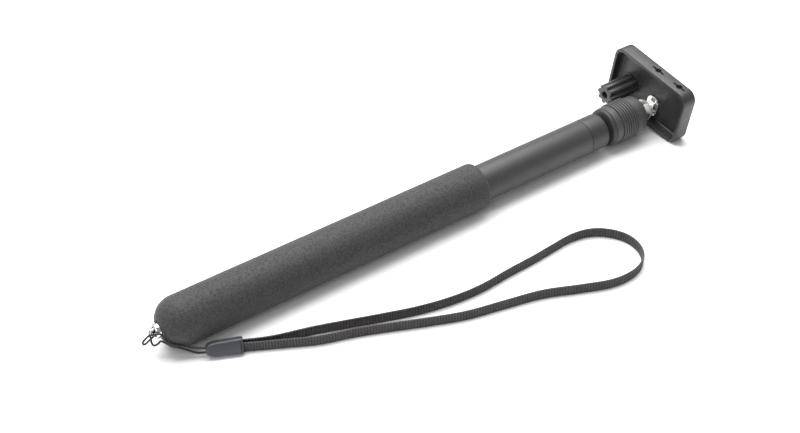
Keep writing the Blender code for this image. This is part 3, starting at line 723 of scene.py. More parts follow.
# %% [markdown]
# A braid can be faked with a bump map, but here its edge is seen against white, where a bump
# shows nothing. So the yarns are real: the strap's section is a thin rounded strip, and each of
# its points moves in or out with a stitch pattern. Six lengthwise rows of stitches lean
# alternately left and right, and the rows share their cross ribs, as in a knitted flat braid.

# %% Braid the strap
BRAID_ROWS = 6
STITCH_PITCH = 0.00145
STITCH_DEPTH = 0.00034
STITCH_LEAN = 0.13     # of a pitch, from a row's middle to its side
RIB_FLOOR = 0.12       # how high a row still stands between two stitches
EDGE_NIP = 0.04        # of the half width, where a cross rib ends
WEAVE = 0.07           # how far the strap leans from upright along its way
FACE_POINTS = 25
EDGE_POINTS = 3


def strip_section():
    """Points round the strap's section: (across, out of the face, side)."""
    half_flat = (STRAP_WIDTH - STRAP_THICKNESS) / 2
    half = STRAP_THICKNESS / 2
    section = []
    for side in (1, -1):
        for i in range(FACE_POINTS):
            share = i / (FACE_POINTS - 1) * 2 - 1
            section.append((side * share * half_flat, side * half, side))
        for i in range(1, EDGE_POINTS + 1):
            turn = math.pi * i / (EDGE_POINTS + 1)
            section.append((side * (half_flat + half * math.sin(turn)), side * half * math.cos(turn), 0))
    return section


def stitch_height(along, across):
    """How far a yarn stands at a point of the strap's face, from 0 to 1."""
    row = (across / STRAP_WIDTH + 0.5) * BRAID_ROWS
    inside = (row % 1) * 2 - 1
    lean = STITCH_LEAN if int(row) % 2 else -STITCH_LEAN
    rib = 0.5 + 0.5 * math.cos(math.tau * (along / STITCH_PITCH + lean * inside))
    crown = 1 - abs(inside) ** 3
    return crown * (RIB_FLOOR + (1 - RIB_FLOOR) * rib ** 1.2)


def make_strap():
    section = strip_section()
    up = Vector((0, 0, 1))
    rings = []
    heights = []
    for i, here in enumerate(strap_path):
        before = strap_path[max(i - 1, 0)]
        after = strap_path[min(i + 1, len(strap_path) - 1)]
        out = (after - before).cross(up).normalized()
        along = strap_length * i / (len(strap_path) - 1)
        lean = noise.noise(Vector((along * 18, 0.3, 0))) * WEAVE
        tilted = (up + out * lean).normalized()
        ring = []
        for across, off, side in section:
            if side:
                height = stitch_height(along, across)
                off -= side * STITCH_DEPTH * (1 - height)
            else:
                height = 0.5 + 0.5 * math.cos(math.tau * along / STITCH_PITCH)
                across *= 1 - EDGE_NIP * (1 - height)
            heights.append(height)
            ring.append(here + tilted * across + out * off)
        rings.append(ring)
    mesh = skin("wrist_strap_braid", rings, crease_deg=SOFT_CREASE_DEG)
    mesh.attributes.new("yarn_height", "FLOAT", "POINT").data.foreach_set("value", heights)
    return finished("wrist_strap_braid", mesh, "wrist_strap")


wrist_strap = make_strap()

# %% [markdown]
# The thin cord is three strands laid together. A bevelled curve would give a smooth wire, so it
# is skinned along its route as well, with a section of three soft lobes that turns as it goes.

# %% Lay the thin cord
STRANDS = 3
LAY_LENGTH = 0.0034
LOBE_SHARE = 0.16      # of the radius, from between two strands to the top of one
CORD_SIDES = 24


def make_cord():
    rings = []
    side = (cord_path[1] - cord_path[0]).cross(Vector((0, 0, 1))).normalized()
    for i, here in enumerate(cord_path):
        before = cord_path[max(i - 1, 0)]
        after = cord_path[min(i + 1, len(cord_path) - 1)]
        ahead = (after - before).normalized()
        side = (side - ahead * side.dot(ahead)).normalized()
        other = ahead.cross(side)
        twist = math.tau * cord_length * i / (len(cord_path) - 1) / LAY_LENGTH
        ring = []
        for k in range(CORD_SIDES):
            angle = math.tau * k / CORD_SIDES
            lobe = abs(math.cos((angle * STRANDS + twist * STRANDS) / 2))
            radius = CORD_DIAMETER / 2 * (1 - LOBE_SHARE + LOBE_SHARE * lobe)
            ring.append(here + side * radius * math.cos(angle) + other * radius * math.sin(angle))
        rings.append(ring)
    mesh = skin("strap_cord_laid", rings, crease_deg=SOFT_CREASE_DEG)
    return finished("strap_cord_laid", mesh, "strap_cord")


thin_cord = make_cord()

# %% [markdown]
# The connector is a pair of moulded shells that grips the strap's two ends and the cord's. They
# stand on edge, as the strap does, and lean back a little. They are mirror halves with one
# outline, square at the strap and narrower and round at the cord, so one function makes both,
# with a generous radius on each outer edge and a fine one at the parting line.


# %% Mould the connector's shells
CONNECTOR_BUTT = (-0.1262, -0.0164)    # the middles of its two ends, from the routes' zero
CONNECTOR_MOUTH = (-0.1095, -0.0242)
CONNECTOR_LEAN_DEG = 20
SHELL_NECK = ((0.0046, 0.9), (0.0022, 0.81), (0.0008, 0.65), (0.0, 0.4))   # (from end, width share)
SHELL_CORNER = 0.0005
SHELL_ROUNDING = 0.0012
PARTING_EDGE = ((0.00016, 0.0), (0.00004, 0.00004), (0.0, 0.00018))        # (inset, height)


def connector_place():
    """The shells' own directions: X along them, Y across the strap, Z out of the upper shell."""
    butt, mouth = Vector(CONNECTOR_BUTT), Vector(CONNECTOR_MOUTH)
    shells = [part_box("connector_lower"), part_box("connector_upper")]
    low = min(shell[0].z for shell in shells)
    high = max(shell[1].z for shell in shells)
    middle = (butt + mouth) / 2
    run = mouth - butt
    place = Matrix.Translation((ZERO.x + middle.x, ZERO.y + middle.y, (low + high) / 2))
    turn = Matrix.Rotation(math.atan2(run.y, run.x), 4, "Z")
    return place @ turn @ Matrix.Rotation(math.radians(90 - CONNECTOR_LEAN_DEG), 4, "X")


CONNECTOR = connector_place()


def connector_outline():
    """The shells' outline, narrower at the thin cord than at the strap."""
    low, high = local_box("connector_upper", CONNECTOR)
    half_l, half_w = (high.x - low.x) / 2, (high.y - low.y) / 2
    near = [(half_l, half_w - SHELL_CORNER), (half_l - SHELL_CORNER, half_w)]
    near += [(from_end - half_l, half_w * share) for from_end, share in SHELL_NECK]
    outline = near + [(x, -y) for x, y in reversed(near)]
    return eased(outline, SHELL_ROUNDING, 6)


def make_connector_shell(node):
    """One shell: a fine edge at the parting line and a rounded one outside."""
    low, high = local_box(node, CONNECTOR)
    thick = high.z - low.z
    levels = [*PARTING_EDGE]
    levels += arc(SHELL_ROUNDING, 180, 90, 9, (SHELL_ROUNDING, thick - SHELL_ROUNDING))
    if node == "connector_lower":
        levels = [(drawn_in, thick - level) for drawn_in, level in levels]
    levels = [(drawn_in, low.z + level) for drawn_in, level in levels]
    return finished(f"{node}_shell", stacked(f"{node}_shell", connector_outline(), levels, CONNECTOR), node)


upper_shell = make_connector_shell("connector_upper")
lower_shell = make_connector_shell("connector_lower")

# %% [markdown]
# ## The grip
# The grip is a foam sleeve with a rounded butt and a rolled front edge. It is turned from the
# same profile as the design's, on a much finer mesh, and every point is then moved in or out
# by a few hundredths of a millimetre of noise, so that its outline is soft like foam and not
# machined. The pebbles themselves are in the finish.

# %% Turn the foam grip
BUTT_ROUNDING = 0.012
BUTT_START_DEG = 17    # the butt's rounding starts here, at the cup's hole
CUP_HOLE = 0.0042
FRONT_ROUNDING = 0.0021
SNUG = 0.0001          # between the foam and the tube
GRIP_SIDES = 160
RING_STEP = 0.0011
SWELLS = ((900, 0.00003), (120, 0.00005))   # (waves a metre, height)
SWELL_SINK = 0.00004   # keeps the swollen foam inside the design's size


def make_grip():
    rear, front, radius = stations("foam_grip")
    bore = stations("handle_tube")[2] + SNUG
    round_start = rear + BUTT_ROUNDING * math.cos(math.radians(BUTT_START_DEG))
    outer = [(rear + 0.0002, CUP_HOLE)]
    outer += arc(BUTT_ROUNDING, 180 - BUTT_START_DEG, 90, 15, (round_start, radius - BUTT_ROUNDING))
    straight = front - FRONT_ROUNDING - round_start
    count = int(straight / RING_STEP)
    outer += [(round_start + straight * i / count, radius) for i in range(1, count)]
    outer += arc(FRONT_ROUNDING, 90, -10, 10, (front - FRONT_ROUNDING, radius - FRONT_ROUNDING))
    inner = [(front - 0.0012, bore), (rear + 0.008, bore), (rear + 0.0012, CUP_HOLE)]
    mesh = turned("foam_grip_sleeve", outer + inner, STICK, GRIP_SIDES, crease_deg=60)
    for vertex in mesh.vertices:
        spoke = vertex.co - AXIS
        spoke.x = 0
        if spoke.length > radius * 0.88:
            swell = sum(noise.noise(vertex.co * waves) * height for waves, height in SWELLS)
            vertex.co += spoke.normalized() * (swell - SWELL_SINK)
    finished("foam_grip_sleeve", mesh, "foam_grip")


make_grip()

# %% [markdown]
# A screw eye closes the butt: a plated cup stands a little way out of the foam, and inside it a
# ring of wire holds the thin cord. The ring is a circle of wire, so it is skinned as rings that
# go all the way round. The faces inside the cup's bore are painted near black, as painted shade
# for the inside of a deep hole.


# %% Eye and cup
CUP_WALL = 0.0012
CUP_FLOOR_HOLE = 0.0016
EYE_WIRE = 0.00055
EYE_RING = 0.0017
EYE_SHANK = 0.0012


def darken(mesh, place, inside):
    """Paints the faces whose middle passes a test near black, as the painted shade of a deep hole."""
    mesh.materials.append(MATERIALS["painted_hole_shade"])
    inward = place.inverted()
    for face in mesh.polygons:
        face.material_index = int(inside(inward @ face.center))


def make_cup():
    rear, front, radius = stations("eye_washer")
    bore = radius - CUP_WALL
    outline = [(front, CUP_FLOOR_HOLE), (front, radius), (rear + 0.0006, radius), (rear, radius - 0.0004),
               (rear, radius - 0.0008), (rear + 0.0005, bore), (rear + 0.0022, bore - 0.0001),
               (rear + 0.0025, CUP_FLOOR_HOLE)]
    mesh = turned("eye_cup", eased(outline, 0.0003, 4), STICK, 80)
    finished("eye_cup", mesh, "eye_washer")
    # painted shade: the faces inside the cup's bore are painted near black
    darken(mesh, STICK, lambda spot: math.hypot(spot.x, spot.y) < bore + 0.00005)


def make_eye():
    low, high = local_box("eye_screw", STICK)
    middle = low.z + EYE_WIRE + EYE_RING
    rings = []
    for out, forward, _ in circle(1.0, 0, 48):
        spoke = Vector((out, 0, forward))
        centre = Vector((0, 0, middle)) + spoke * EYE_RING
        rings.append([centre + spoke * away + Vector((0, aside, 0))
                      for away, aside, _ in circle(EYE_WIRE, 0, 20)])
    hoop = skin("hoop", rings, loop=True, place=STICK, crease_deg=SOFT_CREASE_DEG)
    neck = middle + EYE_RING
    shank = [(neck, 0.0007), (neck + 0.0003, EYE_SHANK), (high.z, EYE_SHANK)]
    stem = turned("stem", eased(shank, 0.0002, 3, closed=False), STICK, 40, loop=False)
    finished("eye_screw_ring", merged("eye_screw_ring", [hoop, stem]), "eye_screw")


make_cup()
make_eye()

# %% [markdown]
# ## The tubes
# The handle tube and the four tubes inside it are plain turned tubes, so one loop makes them
# all. Only the handle tube has a feature: a small crimp near the grip, where the plug inside is
# pinned. It is pressed in by moving the few points round it.

# %% Turn the tubes
WALL = 0.0005
CRIMP_FROM_GRIP = 0.0089
CRIMP_ANGLE_DEG = 154
CRIMP_RADIUS = 0.0011
CRIMP_DEPTH = 0.0004
CRIMP_ZONE = 0.012     # the length from the grip's front that gets close rings
CLOSE_RINGS = 60


def tube_profile(node, close_rings=0):
    """A tube's section with eased rims, and close rings by the grip where they are asked for."""
    rear, front, radius = stations(node)
    steps = 3
    profile = eased([(front, radius - WALL), (front, radius), (rear, radius), (rear, radius - WALL)],
                    0.00015, steps)
    if close_rings:
        start = stations("foam_grip")[1]
        close = [(start + CRIMP_ZONE * (1 - i / close_rings), radius) for i in range(close_rings + 1)]
        after_front_rim = 2 * (steps + 1)
        profile[after_front_rim:after_front_rim] = close
    return profile


def press_crimp(mesh):
    """Pushes the points round the crimp towards the axis, less and less with distance."""
    angle = math.radians(CRIMP_ANGLE_DEG)
    radius = stations("handle_tube")[2]
    spoke = Vector((0, math.cos(angle), math.sin(angle)))
    centre = AXIS + spoke * radius + Vector((stations("foam_grip")[1] + CRIMP_FROM_GRIP, 0, 0))
    for vertex in mesh.vertices:
        away = (vertex.co - centre).length
        if away < CRIMP_RADIUS * 1.6:
            press = math.exp(-(away / (CRIMP_RADIUS * 0.6)) ** 2)
            vertex.co -= spoke * CRIMP_DEPTH * press


handle_mesh = turned("handle_tube_black", tube_profile("handle_tube", CLOSE_RINGS), STICK, 160)
press_crimp(handle_mesh)
finished("handle_tube_black", handle_mesh, "handle_tube")
for number in (2, 3, 4, 5):
    finish_turned(f"section_{number}_tube_drawn", f"section_{number}_tube",
                  tube_profile(f"section_{number}_tube"))

# %% [markdown]
# Each tube but the last carries a plastic guide bush in its mouth. The largest one is the
# ferrule, whose outer band continues the handle tube and leaves only a hairline joint.


# %% Turn the ferrule and the bushes
RUNNING_ROOM = 0.0002   # between a tube and the bush that it slides or sits in


def make_ferrule():
    rear, front, radius = stations("tube_ferrule")
    joint = stations("handle_tube")[1] + 0.0003
    bore = stations("section_2_tube")[2] + RUNNING_ROOM
    inside = radius - WALL - RUNNING_ROOM
    profile = [(front, bore + 0.0004), (front, radius - 0.0005), (front - 0.0007, radius),
               (joint + 0.0003, radius), (joint, radius - 0.0002), (joint, inside), (rear, inside),
               (rear, bore), (front - 0.0004, bore)]
    finish_turned("tube_ferrule_ring", "tube_ferrule", eased(profile, 0.00035, 4))


def make_bush(number):
    node = f"section_{number}_bush"
    rear, front, radius = stations(node)
    bore = stations(f"section_{number + 1}_tube")[2] + RUNNING_ROOM
    inside = radius - WALL - RUNNING_ROOM
    lip = stations(f"section_{number}_tube")[1] + RUNNING_ROOM
    profile = [(front, bore + 0.0001), (front, radius), (lip, radius), (lip, inside), (rear, inside),
               (rear, bore)]
    finish_turned(f"{node}_ring", node, eased(profile, 0.00012, 3), sides=96)


make_ferrule()
for number in (2, 3, 4):
    make_bush(number)

# %% [markdown]
# ## The lock collar
# The collar turns on the head base and, through a ring inside it, squeezes the post. Its grip
# is a band of seven ribs with narrow grooves between them, and its mouth tapers in. The ribs
# come from one loop over their number, so that changing the pitch changes them all. The head
# base has a thin rim behind the collar, and both follow their solids' ends and outer sizes.

# %% Turn the collar
RIDGE_COUNT = 7
RIDGE_PITCH = 0.00175
FIRST_RIDGE_FROM_BACK = 0.0056
BAND_RADIUS = 0.0113
GROOVE_HALF = 0.0003
GROOVE_FLOOR_HALF = 0.00008
GROOVE_DEPTH = 0.0007
COLLAR_EDGE = 0.0006
# (back from the front end, radius)
COLLAR_MOUTH = ((0.0007, 0.01072), (0.0, 0.0100), (0.0, 0.0078))
COLLAR_BORE = ((0.0004, 0.0074), (0.0018, 0.0074), (0.0018, 0.0096), (0.0096, 0.0096), (0.0104, 0.0089))
SPIGOT_RADIUS = 0.0086
POST_BORE = 0.0045
RIM_WIDTH = 0.0019
SQUEEZE_BORE = 0.0070


def make_collar():
    back, front, crest = stations("lock_collar")
    floor = BAND_RADIUS - GROOVE_DEPTH
    outer = [(back, BAND_RADIUS - COLLAR_EDGE), (back + COLLAR_EDGE, BAND_RADIUS)]
    start = back + FIRST_RIDGE_FROM_BACK - RIDGE_PITCH / 2
    outer += [(start - GROOVE_HALF, BAND_RADIUS)]
    for i in range(RIDGE_COUNT):
        left = start + i * RIDGE_PITCH
        right = left + RIDGE_PITCH
        outer += [(left - GROOVE_FLOOR_HALF, floor), (left + GROOVE_FLOOR_HALF, floor)]
        outer += [(left + GROOVE_HALF, crest - 0.0001), ((left + right) / 2, crest),
                  (right - GROOVE_HALF, crest - 0.0001)]
    last = start + RIDGE_COUNT * RIDGE_PITCH
    outer += [(last, floor), (last + GROOVE_HALF, BAND_RADIUS)]
    rest = [(front - behind, radius) for behind, radius in COLLAR_MOUTH + COLLAR_BORE]
    rest += [(back + 0.0005, COLLAR_BORE[-1][1])]
    finish_turned("lock_collar_ribbed", "lock_collar", eased(outer + rest, 0.00012, 3))


def make_head_base():
    back, front, radius = stations("head_base")
    socket = stations("section_5_tube")[2] + 0.0003
    rim = back + RIM_WIDTH
    socket_end = back + 0.0095
    outline = [(back, socket + 0.0004), (back, radius - 0.0013), (back + 0.0007, radius - 0.0003),
               (rim - 0.0003, radius), (rim, radius - 0.0003), (rim, SPIGOT_RADIUS),
               (front, SPIGOT_RADIUS), (front, POST_BORE), (socket_end, POST_BORE), (socket_end, socket),
               (back + 0.0004, socket)]
    finish_turned("head_base_rim", "head_base", eased(outline, 0.0003, 3))


def make_squeeze_ring():
    rear, front, radius = stations("squeeze_ring")
    outline = [(front, SQUEEZE_BORE + 0.0004), (front, radius - 0.0004), (front - 0.0005, radius),
               (rear, radius), (rear, SQUEEZE_BORE), (front - 0.0015, SQUEEZE_BORE)]
    finish_turned("squeeze_ring_brass", "squeeze_ring", eased(outline, 0.0002, 3), sides=96)


make_collar()
make_head_base()
make_squeeze_ring()

# %% [markdown]
# ## The tilt post, its pin and the hinge bracket
# The post is a pale cast ball end with a slot, and the bracket's round blade sits in that slot
# on a pin. Both are bright metal, where the light changes at every edge, so the curved forms
# are fine and the cut edges get a small Bevel to catch a line of light.

# %% Turn, slot and drill the post
BALL_RADIUS = 0.0067
SHANK_RADIUS = 0.0042
CHEEK_FLAT = 0.0053
CHEEK_BOTTOM = -0.0027
SLOT_HALF = 0.0017
SLOT_BOTTOM = -0.0095
TONGUE_HALF = 0.0014
PIN_RADIUS = 0.0014
BEYOND = 0.01          # a cutter's reach, past everything on the post
CUT_CREASE_DEG = 40
ACROSS = HEAD @ Matrix.Rotation(math.pi / 2, 4, "Y")   # local Z runs along the tilt pin


def softened(mesh, width):
    """A mesh with its sharp edges bevelled, applied."""
    helper = add_object("helper", mesh)
    bevel = helper.modifiers.new("Softened", "BEVEL")
    bevel.width = width
    bevel.segments = 2
    bevel.limit_method = "ANGLE"
    bevel.angle_limit = math.radians(CUT_CREASE_DEG)
    bevel.use_clamp_overlap = True
    return tidy_faces(applied(helper), CUT_CREASE_DEG)


def make_post():
    low, high = local_box("tilt_post", HEAD)
    shoulder = local_box("head_base", HEAD)[1].z + 0.0003
    profile = [(low.z, SHANK_RADIUS - 0.0003), (low.z + 0.0003, SHANK_RADIUS), (shoulder, SHANK_RADIUS),
               (shoulder, BALL_RADIUS), (0, BALL_RADIUS)]
    profile += arc(BALL_RADIUS, 85, 5, 16)
    post = turned("tilt_post_slotted", profile, HEAD, 72, loop=False)
    cutters = [block((-SLOT_HALF, -BEYOND, SLOT_BOTTOM), (SLOT_HALF, BEYOND, BEYOND), HEAD),
               block((CHEEK_FLAT, -BEYOND, CHEEK_BOTTOM), (BEYOND, BEYOND, BEYOND), HEAD),
               block((-BEYOND, -BEYOND, CHEEK_BOTTOM), (-CHEEK_FLAT, BEYOND, BEYOND), HEAD),
               rod(PIN_RADIUS + 0.0003, -BEYOND, BEYOND, ACROSS)]
    post = combined("tilt_post_slotted", post, cutters)
    finished("tilt_post_slotted", softened(post, 0.00018), "tilt_post", "cast_nickel")


def make_pin():
    """The tilt pin, with a low head on each of the post's cheeks."""
    reach = local_box("tilt_pin", HEAD)[1].x
    head = CHEEK_FLAT + 0.0003
    half = [(head, PIN_RADIUS), (head, 0.0023), (reach - 0.0003, 0.0019), (reach, 0.0010)]
    profile = [(-station, radius) for station, radius in reversed(half)] + half
    profile = eased(profile, 0.0003, 3, closed=False)
    finish_turned("tilt_pin_riveted", "tilt_pin", profile, ACROSS, 40, loop=False)


make_post()
make_pin()


# %% Bracket and rivets
BLADE_EYE = 0.0050
BLADE_FILLET = 0.0025
FOOT_THICKNESS = 0.0015
RIVET_HEIGHT = 0.00085
RIVET_RADIUS = 0.00125
RIVET_SHANK = 0.00065


def make_bracket():
    """A round-ended blade in the slot, blending into a flat foot on the platform's floor."""
    high = local_box("hinge_tongue", HEAD)[1]
    foot_low = high.z - FOOT_THICKNESS
    plan = arc(BLADE_EYE, 180, 360, 24)
    plan += arc(BLADE_FILLET, 180, 110, 6, (0.0052, foot_low - 0.0022))
    plan += [(0.0046, high.z - 0.0007), (-0.0046, high.z - 0.0007)]
    plan += arc(BLADE_FILLET, 70, 0, 6, (-0.0052, foot_low - 0.0022))
    sideways = HEAD @ Matrix(((0, 0, 1, 0), (1, 0, 0, 0), (0, 1, 0, 0), (0, 0, 0, 1)))
    rings = [[(x, y, z) for x, y in plan] for z in (-TONGUE_HALF, TONGUE_HALF)]
    blade = skin("blade", rings, place=sideways)
    foot_plan = rounded_rectangle(0.0086, 0.0130, 0.0034, 10, 3)
    foot = stacked("foot", foot_plan, [(0.0001, foot_low), (0, foot_low + 0.0001), (0, high.z)], HEAD)
    bore = rod(PIN_RADIUS + 0.0002, -BEYOND, BEYOND, ACROSS)
    bracket = combined("hinge_bracket", blade, [bore], [foot])
    finished("hinge_bracket", softened(bracket, 0.00025), "hinge_tongue")


def make_rivet(name):
    low, high = local_box(name, HEAD)
    middle = (low + high) / 2
    place = HEAD @ Matrix.Translation((middle.x, middle.y, 0))
    under_head = low.z + RIVET_HEIGHT
    dome = [(under_head - RIVET_HEIGHT * up, RIVET_RADIUS * out) for up, out in arc(1.0, 12, 90, 6)]
    profile = dome + [(under_head, RIVET_SHANK), (high.z, RIVET_SHANK)]
    finish_turned(f"{name}_dome", name, profile, place, 32, loop=False)


make_bracket()
make_rivet("rivet_upper")
make_rivet("rivet_lower")

# %% [markdown]
# ## The camera platform
# The platform is a moulded tray seen from its hollow side. One outline, a rounded rectangle, is
# stacked at the levels of its rim, wall, floor and outer face, drawn in by the wall's thickness
# and a little more where a corner is rounded. Its upper edge has two sockets for a clip-on
# mirror, each a round hole crossed by a slit, and its floor keeps the round marks of the pins
# that pushed it out of the mould.

# %% Mould the platform
PLATE_WALL = 0.0024
PLATE_CORNER = 0.0065
TRAY_DEPTH = 0.0059
SOCKETS_FROM_MIDDLE = (0.0012, 0.0183)
SOCKET_FROM_RIM = 0.0047
SOCKET_RADIUS = 0.0019
SOCKET_DEPTH = 0.0065
SLIT_HALF_LENGTH = 0.0044
SLIT_HALF_WIDTH = 0.0006
SLIT_DEPTH = 0.006
KNOB_HOLE = 0.0035
KNOB_RECESS = 0.0052
THROUGH = 0.03         # a cutter's reach through the whole platform
EJECTOR_MARKS = ((0.0151, -0.0042), (0.0125, 0.0085), (-0.0097, -0.0090))
plate_low, plate_high = local_box("camera_platform", HEAD)
plate_middle = (plate_low + plate_high) / 2
screw_low, screw_high = local_box("camera_screw", HEAD)
screw_middle = (screw_low + screw_high) / 2
PLATE = HEAD @ Matrix.Translation((plate_middle.x, plate_middle.y, 0))
KNOB = HEAD @ Matrix.Translation((screw_middle.x, screw_middle.y, 0))
UPPER_EDGE = plate_low.y - plate_middle.y
SOCKET_HEIGHT = plate_low.z + SOCKET_FROM_RIM


def mould_tray(floor):
    """The plain tray, from the middle of its face round its rim to its floor."""
    outline = rounded_rectangle(plate_high.x - plate_low.x, plate_high.y - plate_low.y, PLATE_CORNER)
    rim, face = plate_low.z, plate_high.z
    levels = [(0.0042, face)]
    levels += arc(0.0009, 90, 180, 5, (0.0009, face - 0.0009))
    levels += arc(0.0006, 180, 270, 5, (0.0006, rim + 0.0006))
    levels += arc(0.0003, 270, 360, 3, (PLATE_WALL - 0.0006, rim + 0.0003))
    levels += [(PLATE_WALL - 0.0001, floor - 0.0012)]
    levels += arc(0.0011, 180, 90, 4, (PLATE_WALL + 0.0012, floor - 0.0011))
    return stacked("camera_platform_tray", outline, levels, PLATE)


def socket_cutters():
    """A round hole crossed by a slit, for each clip-on socket in the platform's upper edge."""
    cutters = []
    for across in SOCKETS_FROM_MIDDLE:
        spot = PLATE @ Matrix.Translation((across, UPPER_EDGE, SOCKET_HEIGHT))
        downwards = spot @ Matrix.Rotation(-math.pi / 2, 4, "X")
        cutters.append(rod(SOCKET_RADIUS, -0.005, SOCKET_DEPTH, downwards, 40))
        cutters.append(block((-SLIT_HALF_LENGTH, -0.002, -SLIT_HALF_WIDTH),
                             (SLIT_HALF_LENGTH, SLIT_DEPTH, SLIT_HALF_WIDTH), spot))
    return cutters


def floor_marks(floor):
    """The low pads that the mould's pins leave, and a raised ring round the knob's hole."""
    marks = []
    for across, down in EJECTOR_MARKS:
        spot = HEAD @ Matrix.Translation((across, down, 0))
        marks.append(rod(0.0009, floor - 0.00012, floor + 0.0005, spot, 32, ease=0.00005))
    boss = [(floor - 0.0006, 0.0056), (floor - 0.0006, 0.0066), (floor + 0.0004, 0.0069),
            (floor + 0.0004, 0.0054)]
    marks.append(turned("boss", eased(boss, 0.0002, 2), KNOB, 64))
    return marks


def in_socket(spot):
    """Whether a point in the platform's directions lies on a wall of a socket."""
    deep = UPPER_EDGE + 0.0004 < spot.y < UPPER_EDGE + SOCKET_DEPTH + 0.0001
    level = abs(spot.z - SOCKET_HEIGHT) < SOCKET_RADIUS + 0.00005
    return deep and level and any(abs(spot.x - across) < SLIT_HALF_LENGTH + 0.0001
                                  for across in SOCKETS_FROM_MIDDLE)


def make_platform():
    floor = plate_low.z + TRAY_DEPTH
    cutters = [rod(KNOB_HOLE, 0, THROUGH, KNOB, 48),
               rod(KNOB_RECESS, plate_high.z - 0.0015, THROUGH, KNOB, 48), *socket_cutters()]
    tray = combined("camera_platform_tray", mould_tray(floor), cutters)
    tray = merged("camera_platform_tray", [tray, *floor_marks(floor)])
    finished("camera_platform_tray", tray, "camera_platform")
    # painted shade: the sockets' walls are painted near black, for the inside of the deep holes
    darken(tray, PLATE, in_socket)


make_platform()

# %% [markdown]
# The camera rests on a rubber pad, glued to the platform's outer face. A shallow groove runs
# round it just inside its edge, so the pad is one more outline stacked at several levels.

# %% Mould the pad
PAD_CORNER = 0.0045
PAD_HOLE = 0.0042
GROOVE_DROP = 0.0004


def make_pad():
    low, high = local_box("rubber_pad", PLATE)
    outline = rounded_rectangle(high.x - low.x, high.y - low.y, PAD_CORNER)
    top = high.z
    gap_shade = top - GROOVE_DROP
    levels = [(0.0002, low.z), (0, low.z + 0.0002), (0, gap_shade), (0.00012, top - 0.00012), (0.0004, top),
              (0.0016, top), (0.0018, gap_shade), (0.0024, gap_shade), (0.0026, top)]
    pad = stacked("rubber_pad_grooved", outline, levels, PLATE)
    pad = combined("rubber_pad_grooved", pad, [rod(PAD_HOLE, 0, THROUGH, KNOB, 48)])
    finished("rubber_pad_grooved", pad, "rubber_pad")


make_pad()

# %% [markdown]
# ## The thumb knob and the camera screw
# The knob is long, with eight lobes to turn it by, and hollow at its end. Its outline is eased
# before it is stacked. It is then taken at evenly spread angles, so that its points pair up
# with those of the round bore, and one skin can run down the outside and back up the inside.

# %% Mould the knob
KNOB_LOBES = 8
KNOB_RADIUS = 0.0059
KNOB_SIDES = 200
# (share of a lobe's turn, share of the knob's radius): the crest, then the valley after it
LOBE = ((-0.22, 1.0), (0.0, 1.04), (0.22, 1.0), (0.36, 0.80), (0.64, 0.80))
# (radius, height over the knob's outer end): the wide bore, its step and the screw's hole
KNOB_BORE = ((0.00345, 0.0042), (0.0032, 0.0040), (0.0021, 0.0039), (0.0021, 0.0003), (0.0024, 0.0))


def angle_of(point):
    """A point's angle about the knob's axis, from 0 to a full turn."""
    return math.atan2(point[1], point[0]) % math.tau


def knob_outline():
    """The lobed outline, resampled so that its points are evenly spread by angle."""
    corners = []
    for i in range(KNOB_LOBES):
        for share, radius in LOBE:
            angle = math.tau * (i + share) / KNOB_LOBES
            corners.append((KNOB_RADIUS * radius * math.cos(angle),
                            KNOB_RADIUS * radius * math.sin(angle)))
    dense = eased(corners, 0.0009, 8)
    dense.sort(key=angle_of)
    outline = []
    for i in range(KNOB_SIDES):
        wanted = math.tau * i / KNOB_SIDES
        after = next((k for k, point in enumerate(dense) if angle_of(point) > wanted), 0)
        start, end = Vector(dense[after - 1]), Vector(dense[after])
        run = end - start
        spoke = Vector((math.cos(wanted), math.sin(wanted)))
        cross = run.x * spoke.y - run.y * spoke.x
        share = (start.y * spoke.x - start.x * spoke.y) / cross if cross else 0
        outline.append(tuple(start.lerp(end, max(0.0, min(1.0, share)))))
    return outline


def make_knob():
    low, high = local_box("star_knob", HEAD)
    levels = arc(0.0005, 270, 180, 4, (0.0005, low.z + 0.0005))
    levels += [(0, high.z - 0.0004), (0.0001, high.z - 0.0001), (0.0004, high.z)]
    rings = ring_levels(knob_outline(), levels)
    bore = [(KNOB_BORE[0][0], high.z)] + [(radius, low.z + over) for radius, over in KNOB_BORE]
    rings += [circle(radius, height, KNOB_SIDES) for radius, height in bore]
    finished("star_knob_lobed", skin("star_knob_lobed", rings, loop=True, place=KNOB), "star_knob")


make_knob()

# %% [markdown]
# The screw carries a real thread, because its crests show against a white background when the
# stick is seen from in front. Each ring is a circle whose radius follows a saw-tooth that
# climbs one pitch a turn. The thread runs in gently at its start and tapers at the tip.

# %% Thread the screw
SCREW_RADIUS = 0.0031
SCREW_SIDES = 48
THREAD_PITCH = 0.00127
THREAD_DEPTH = 0.00062
THREAD_ROWS = 64
RUN_IN = 0.0004
TIP_LENGTH = 0.0008
TIP_TAPER = 0.0006


def thread_radius(station, turn, start, end):
    """The screw's radius at a station along it and a share of a turn round it."""
    phase = (station / THREAD_PITCH - turn) % 1
    crest = 1 - abs(phase * 2 - 1)
    cut = THREAD_DEPTH * min(1.0, (station - start) / RUN_IN) * min(1.0, crest * 1.25)
    taper = max(0.0, (station - end + TIP_LENGTH) / TIP_LENGTH) * TIP_TAPER
    return SCREW_RADIUS - cut - taper


def make_screw():
    """A plain shank with a real thread on the length that goes into the camera."""
    low, high = screw_low.z, screw_high.z
    start = plate_high.z - 0.0003
    rings = [circle(SCREW_RADIUS, station, SCREW_SIDES) for station in (low, start - 0.0012)]
    for row in range(THREAD_ROWS + 1):
        station = start + (high - start) * row / THREAD_ROWS
        ring = []
        for i in range(SCREW_SIDES):
            radius = thread_radius(station, i / SCREW_SIDES, start, high)
            angle = math.tau * i / SCREW_SIDES
            ring.append((radius * math.cos(angle), radius * math.sin(angle), station))
        rings.append(ring)
    finished("camera_screw_threaded", skin("camera_screw_threaded", rings, place=KNOB, crease_deg=50),
             "camera_screw")


